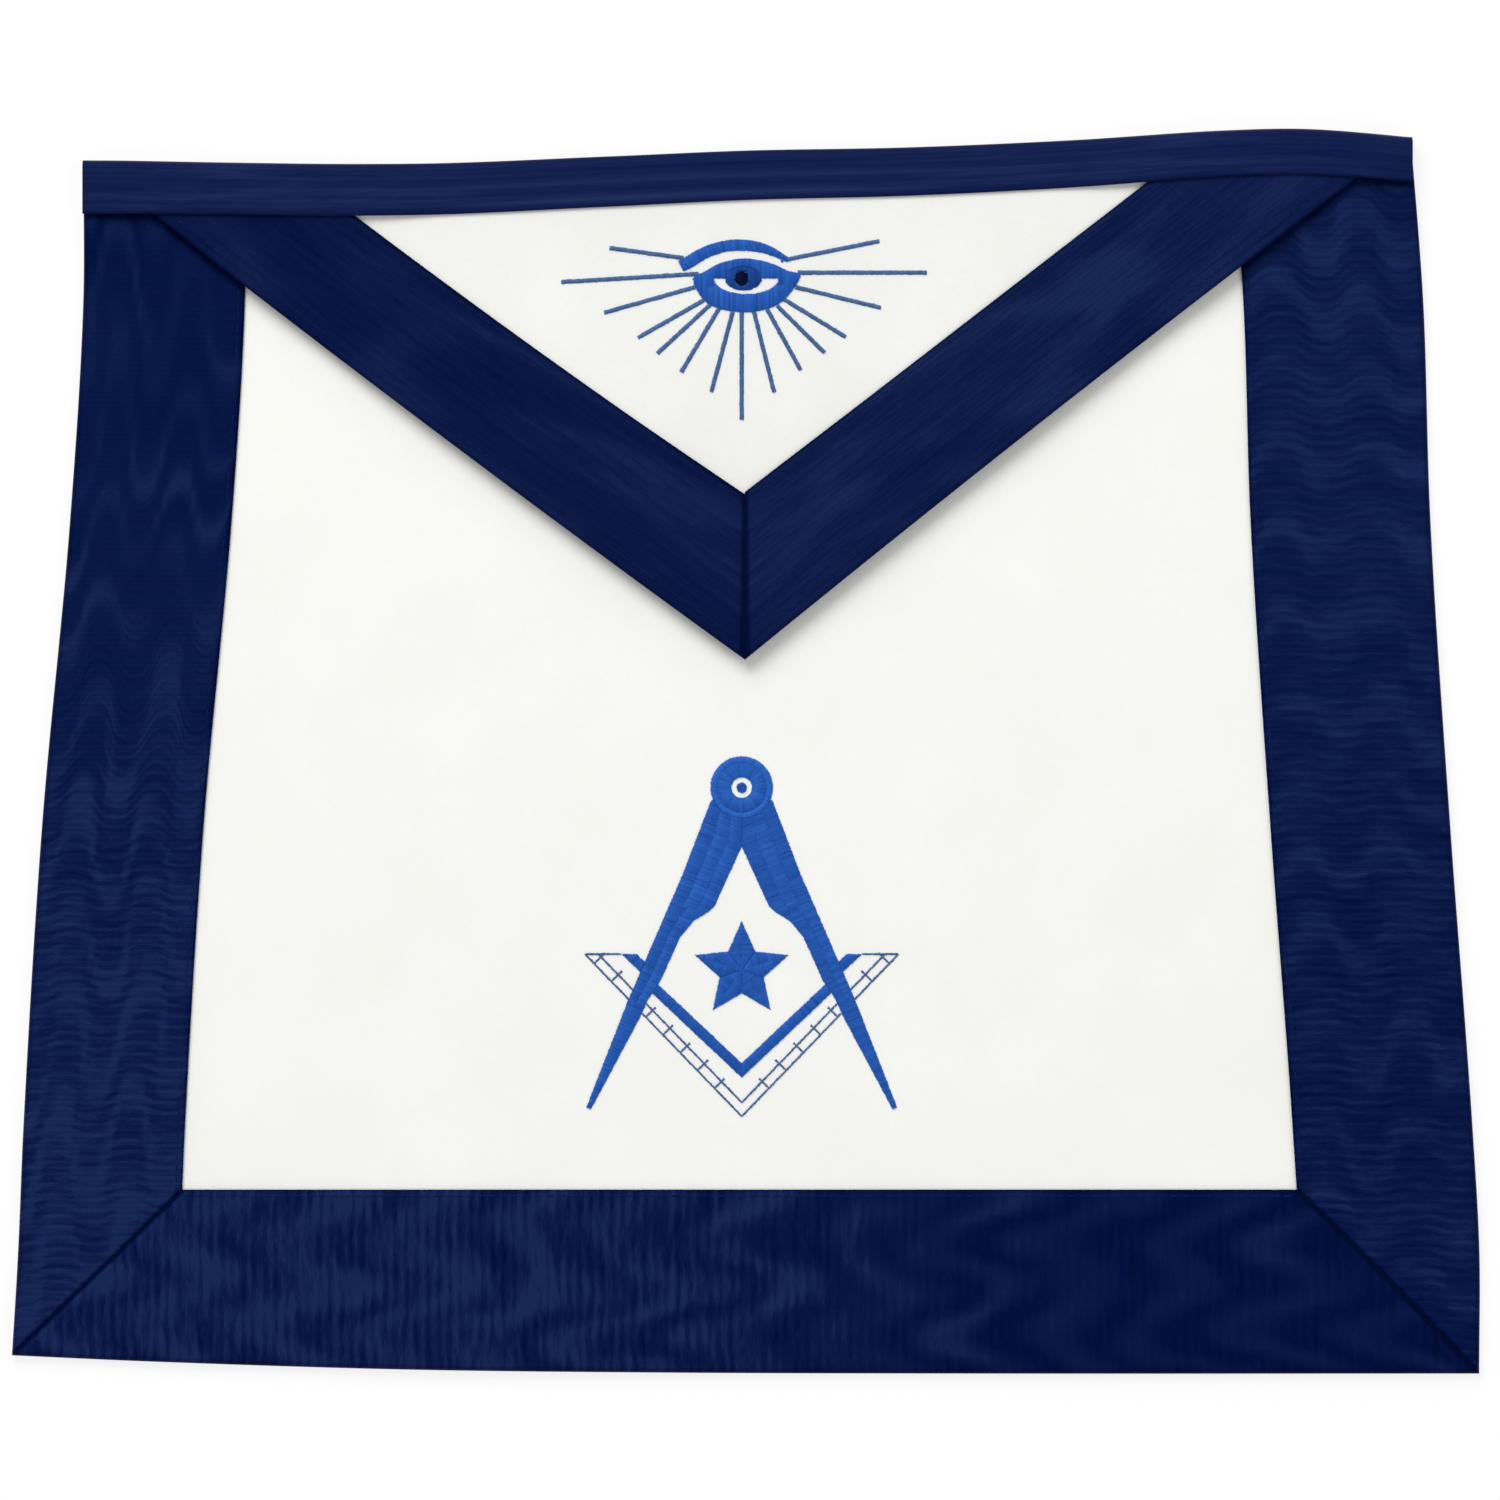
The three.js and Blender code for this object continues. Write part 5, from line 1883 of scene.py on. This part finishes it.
@dataclass
class Eye:
    """The embroidered eye, its brow and its rays, on the flap."""

    lay: Lay
    drop: float = 0.0373
    width: float = 0.031
    height: float = 0.0143
    opening: float = 0.0188
    opening_depth: float = 0.0045
    opening_shift: float = 0.0013
    iris_width: float = 0.0106
    iris_height: float = 0.007
    iris_shift: float = 0.0005
    pupil_radius: float = 0.002
    overlap: float = 0.00012
    brow_span: float = 0.029
    brow_width: float = 0.0033
    ray_reach: float = 0.0536
    ray_width: float = 0.00125
    ray_tuck: float = 0.0017
    lid_strand: float = 0.009
    lid_across: tuple[float, ...] = (
        *(-0.455, -0.34, -0.19, 0.03, 0.26, 0.43),
        *(0.55, 0.43, 0.28, 0.04, -0.22, -0.37),
    )
    lid_up: tuple[float, ...] = (0, 0.15, 0.32, 0.41, 0.32, 0.16, 0.06, -0.36, -0.59, -0.69, -0.61, -0.4)
    brow_across: tuple[float, ...] = (-0.61, -0.53, -0.355, -0.175, -0.04, 0.14, 0.3, 0.465)
    brow_up: tuple[float, ...] = (0.125, 0.165, 0.265, 0.322, 0.335, 0.322, 0.272, 0.185)
    brow_wide: tuple[float, ...] = (1.05, 1.1, 1.05, 1, 1, 0.92, 0.72, 0.42)
    rays: tuple[tuple[float, float, float, float], ...] = (
        (-0.321, 0.112, -0.716, 0.166),
        (-0.252, 0.024, -0.979, -0.019),
        (-0.271, -0.052, -0.744, -0.185),
        (-0.222, -0.127, -0.56, -0.321),
        (-0.174, -0.146, -0.455, -0.405),
        (-0.121, -0.16, -0.326, -0.506),
        (-0.048, -0.179, -0.165, -0.618),
        (0, -0.179, 0, -0.763),
        (0.066, -0.179, 0.176, -0.618),
        (0.134, -0.16, 0.319, -0.496),
        (0.19, -0.146, 0.45, -0.405),
        (0.224, -0.11, 0.562, -0.317),
        (0.302, -0.049, 0.757, -0.16),
        (0.302, 0.032, 1, 0.032),
        (0.243, 0.103, 0.746, 0.203),
    )

    @property
    def pupil(self) -> Array:
        """The pupil's centre."""
        return np.array([HINGE[0], self.lay.sizes.height - self.drop])

    def smooth_rim(self) -> Outline:
        """The almond's rim: a closed smooth curve through the table's points."""
        corners = np.stack([self.lid_across, self.lid_up], -1) * np.array([self.width, self.height])
        return smooth_loop(self.pupil + corners, 8)

    def opening_outline(self) -> Outline:
        """The white of the eye: a half round opening with a level top."""
        turn = even(24) * math.pi
        centre = self.pupil + np.array([self.opening_shift, 0])
        return centre + np.stack([-self.opening / 2 * np.cos(turn), -self.opening_depth * np.sin(turn)], -1)

    def iris_outline(self, clearance: float) -> Outline:
        """The iris's rim."""
        centre = self.pupil + np.array([self.iris_shift, 0])
        return circle(centre, self.iris_width / 2 + clearance, self.iris_height / 2 + clearance)

    def brow_edges(self) -> tuple[Outline, Outline]:
        """The brow's upper and lower edges.

        Returns:
            Two lines with as many points each.
        """
        middle = self.pupil + np.stack([self.brow_across, self.brow_up], -1) * self.brow_span
        before = np.concatenate([middle[:1], middle[:-1]])
        after = np.concatenate([middle[1:], middle[-1:]])
        run = (after - before) / np.linalg.norm(after - before, axis=1, keepdims=True)
        normal = np.stack([-run[:, 1], run[:, 0]], -1)
        half = np.array(self.brow_wide)[:, None] * self.brow_width / 2
        return smooth_line(middle + normal * half, 5), smooth_line(middle - normal * half, 5)

    def build(self) -> dict[str, Piece]:
        """Builds every embroidered piece, by the CAD node that it replaces.

        Returns:
            The pieces, by CAD node.
        """
        top = self.lay.flap_top
        rim = self.smooth_rim()
        lids = Strands(top, 300, longest=self.lid_strand)
        lids.fill(rim, math.pi / 2, [self.opening_outline(), self.iris_outline(-self.overlap)])
        iris = Strands(top, 301, longest=self.lid_strand)
        hole = circle(self.pupil, self.pupil_radius, self.pupil_radius)
        iris.fill(self.iris_outline(0), math.pi / 2, [hole])
        pupil = Strands(top, 302)
        pupil.fill(circle(self.pupil, self.pupil_radius, self.pupil_radius), 0)
        brow = Strands(top, 303)
        edges = self.brow_edges()
        brow.ladder(*edges)
        books = {"eyelids": lids, "iris": iris, "pupil": pupil, "brow": brow}
        bare = [grown(rim, TOUCHING), np.concatenate([edges[0], edges[1][::-1]])]
        for number, (from_x, from_y, to_x, to_y) in enumerate(self.rays, 1):
            start = self.pupil + np.array([from_x, from_y]) * self.ray_reach
            end = self.pupil + np.array([to_x, to_y]) * self.ray_reach
            start = start + (start - end) / np.linalg.norm(start - end) * self.ray_tuck
            ray = Strands(top, 310 + number)
            ray.strip(start, end, self.ray_width, bare)
            books[f"ray_{number:02d}"] = ray
        return sewn(books, self.lay)

    def dress(self, made: dict[str, Piece], wardrobe: Wardrobe) -> None:
        """Puts the thread's finishes on."""
        special = {"pupil": wardrobe.navy_thread, "iris": wardrobe.iris_thread}
        for node, piece in made.items():
            usual = wardrobe.slim_thread if node.startswith("ray") else wardrobe.thread
            put_on(piece, special.get(node, usual), [node])


def smooth_line(points: Array, each: int) -> Array:
    """A smooth open line through points, with a few steps to each stretch.

    Args:
        points: The points.
        each: Steps from one to the next.

    Returns:
        The points of the finer line.
    """
    count = len(points)
    padded = np.concatenate([2 * points[:1] - points[1:2], points, 2 * points[-1:] - points[-2:-1]])
    made = []
    for stretch in range(count - 1):
        for share in even(each)[:-1]:
            made.append(hermite(padded[stretch : stretch + 4], share))
    return np.array([*made, points[-1]])


def smooth_loop(points: Array, each: int) -> Array:
    """A smooth closed line through points, with a few steps to each stretch.

    Args:
        points: The points.
        each: Steps from one to the next.

    Returns:
        The points of the finer line.
    """
    count = len(points)
    return np.array(
        [
            hermite(points[[(stretch + k) % count for k in (-1, 0, 1, 2)]], share)
            for stretch in range(count)
            for share in even(each)[:-1]
        ]
    )


def hermite(four: Array, share: float) -> Array:
    """A point between the second and third of four points, on a smooth curve through all.

    Args:
        four: The points.
        share: How far the wanted one is from the second to the third.

    Returns:
        The point.
    """
    before, start, end, after = four
    lean_in, lean_out = (end - before) / 2, (after - start) / 2
    cube, square = share**3, share**2
    return (
        (2 * cube - 3 * square + 1) * start
        + (cube - 2 * square + share) * lean_in
        + (3 * square - 2 * cube) * end
        + (cube - square) * lean_out
    )


@dataclass
class TopStitching:
    """Rows of navy running stitches that hold the ribbons down."""

    lay: Lay
    borders: Borders
    inset: float = 0.0018
    stitch: float = 0.0026
    bare: float = 0.0007
    outer_inset: float = 0.0035
    short_of: float = 0.001
    pressed: float = 0.00012
    thread: tuple[float, float] = (0.0004, 0.0005)
    flap_run: Triple = (0.02, 0.97, 0.965)

    def row(self, name: str, line: Array, surface: Surface, seed: int) -> Piece:
        """Builds one row along a line."""
        width, height = self.thread
        strands = Strands(surface, seed, width=width, height=height)
        strands.run_along(line, self.stitch, self.bare)
        return strands.parts().piece(name, self.lay.shift, SHARP_STRAND)

    def build(self) -> list[Piece]:
        """Builds the rows beside the ribbons' free edges.

        Returns:
            The rows.
        """
        lay, sizes = self.lay, self.lay.sizes
        made = []
        share = even(120)
        for side in Side:
            width = lay.border_width(side) - self.inset
            start = self.borders.mitre_y(side, width / lay.border_width(side))
            corner = float(lay.side_x(side, sizes.height)) - side.value * width
            y = lerp(start, float(lay.top_y(corner)) - sizes.band_height - self.short_of, share)
            line = np.stack([lay.side_x(side, y) - side.value * width, y], -1)
            under_flap = lay.flap_edge_y(side, line[:, 0], 0)
            line = line[line[:, 1] < under_flap - self.short_of]
            made.append(self.row(f"{side.word}_border_seam", line, self.ribbon_face, 400 + side.value))
            inner = sizes.flap_ribbon - self.inset
            near, inner_far, outer_far = self.flap_run
            for name, inset, far in (("inner", inner, inner_far), ("outer", self.outer_inset, outer_far)):
                x, edge_y = lay.flap_point(side, inset, lerp(near, far, share))
                line = np.stack([x, edge_y], -1)
                seed = 410 + side.value * 3 + len(name) + int(inset * 1000)
                made.append(self.row(f"{side.word}_flap_{name}_seam", line, self.flap_face, seed))
        up = 1 - self.inset / lay.bottom_border
        ends = []
        for side in Side:
            edge = float(lay.side_x(side, self.borders.mitre_y(side, up)))
            ends.append(edge - side.value * (up * lay.border_width(side) + self.short_of))
        x = lerp(ends[0], ends[1], share)
        line = np.stack([x, lerp(lay.bottom_y(x), lay.bottom_border, up)], -1)
        made.append(self.row("bottom_border_seam", line, self.ribbon_face, 430))
        return made

    def ribbon_face(self, x: Array, y: Array) -> Array:
        """Face of the borders, a little pressed by the stitches."""
        return self.lay.border_under(x, y) + self.lay.sizes.ribbon_thick - self.pressed

    def flap_face(self, x: Array, y: Array) -> Array:
        """Face of the flap's ribbons, a little pressed by the stitches."""
        return self.lay.flap_ribbon_under(x, y) + self.lay.sizes.ribbon_thick - self.pressed

    def dress(self, made: Sequence[Piece], wardrobe: Wardrobe) -> None:
        """Puts the navy thread on."""
        for piece in made:
            put_on(piece, wardrobe.seam_thread, [])


@dataclass
class Studio:
    """Pale table, soft lights and the camera straight above."""

    lay: Lay
    frame_width: float = 0.4365
    middle: tuple[float, float] = (0.00146, 0.18134)
    lens: float = 200.0
    sensor: float = 36.0
    table_size: float = 6.0
    table_below: float = 0.0001
    room: float = 0.56
    key: tuple[Triple, float, float] = ((-0.85, 1.95, 2.1), 1.9, 60)
    fill: tuple[Triple, float, float] = ((1.6, -0.6, 1.9), 2.2, 9)

    def build(self) -> None:
        """Sets the whole studio up."""
        self.table()
        self.camera()
        self.lights()

    def table(self) -> None:
        """Makes the table top."""
        half = self.table_size / 2
        corners = [(-half, -half, 0), (half, -half, 0), (half, half, 0), (-half, half, 0)]
        mesh = bpy.data.meshes.new("table_top")
        mesh.from_pydata(corners, [], [(0, 1, 2, 3)])
        top = bpy.data.objects.new("table_top", mesh)
        top.location.z = -self.table_below
        bpy.context.scene.collection.objects.link(top)
        mesh.materials.append(TableFinish().material())

    def camera(self) -> None:
        """Places the camera."""
        data = bpy.data.cameras.new("overhead")
        data.lens = self.lens
        data.sensor_width = self.sensor
        data.clip_end = 20
        camera = bpy.data.objects.new("overhead", data)
        distance = self.frame_width * self.lens / self.sensor
        camera.location = (self.middle[0] + self.lay.shift[0], self.middle[1] + self.lay.shift[1], distance)
        bpy.context.scene.collection.objects.link(camera)
        bpy.context.scene.camera = camera

    def light(self, name: str, place: Triple, size: float, power: float) -> None:
        """Adds one soft light that looks at the apron's middle.

        Args:
            name: Its name.
            place: Where it stands.
            size: Its breadth.
            power: Its power, in watts.
        """
        data = bpy.data.lights.new(name, "AREA")
        data.shape = "DISK"
        data.size = size
        data.energy = power
        lamp = bpy.data.objects.new(name, data)
        lamp.location = place
        lamp.rotation_mode = "QUATERNION"
        lamp.rotation_quaternion = (-Vector(place)).to_track_quat("-Z", "Y")
        bpy.context.scene.collection.objects.link(lamp)

    def lights(self) -> None:
        """Adds the lights and the pale surroundings."""
        self.light("key", *self.key)
        self.light("fill", *self.fill)
        world = bpy.data.worlds.new("pale_room")
        world.use_nodes = True
        world.node_tree.nodes["Background"].inputs["Color"].default_value = (1, 1, 1, 1)
        world.node_tree.nodes["Background"].inputs["Strength"].default_value = self.room
        bpy.context.scene.world = world
        bpy.context.scene.view_settings.view_transform = "Standard"


def report(pieces: Sequence[Piece]) -> None:
    """Logs each piece with its count of faces."""
    for piece in pieces:
        log.info("%s: %d faces", piece.name, len(piece.data.polygons))


def main() -> None:
    """Builds and dresses the apron, then the studio."""
    logging.basicConfig(level=logging.INFO, format="%(name)s %(message)s")
    lay = Lay(ApronSizes())
    wardrobe = Wardrobe()
    panel = Panel(lay)
    borders = Borders(lay)
    flap = Flap(lay)
    band = Waistband(lay)
    sheet = panel.build()
    ribbons = borders.build()
    flap_pieces = flap.build()
    band_piece = band.build()
    panel.dress(sheet, wardrobe)
    borders.dress(ribbons, wardrobe)
    flap.dress(flap_pieces, wardrobe)
    band.dress(band_piece, wardrobe)
    report([sheet, *ribbons.values(), *flap_pieces.values(), band_piece])
    emblem = Emblem(lay)
    emblem_pieces = emblem.build()
    emblem.dress(emblem_pieces, wardrobe)
    report(list(emblem_pieces.values()))
    eye = Eye(lay)
    eye_pieces = eye.build()
    eye.dress(eye_pieces, wardrobe)
    report(list(eye_pieces.values()))
    seams = TopStitching(lay, borders)
    rows = seams.build()
    seams.dress(rows, wardrobe)
    report(rows)
    Studio(lay).build()


if __name__ == "__main__":
    main()
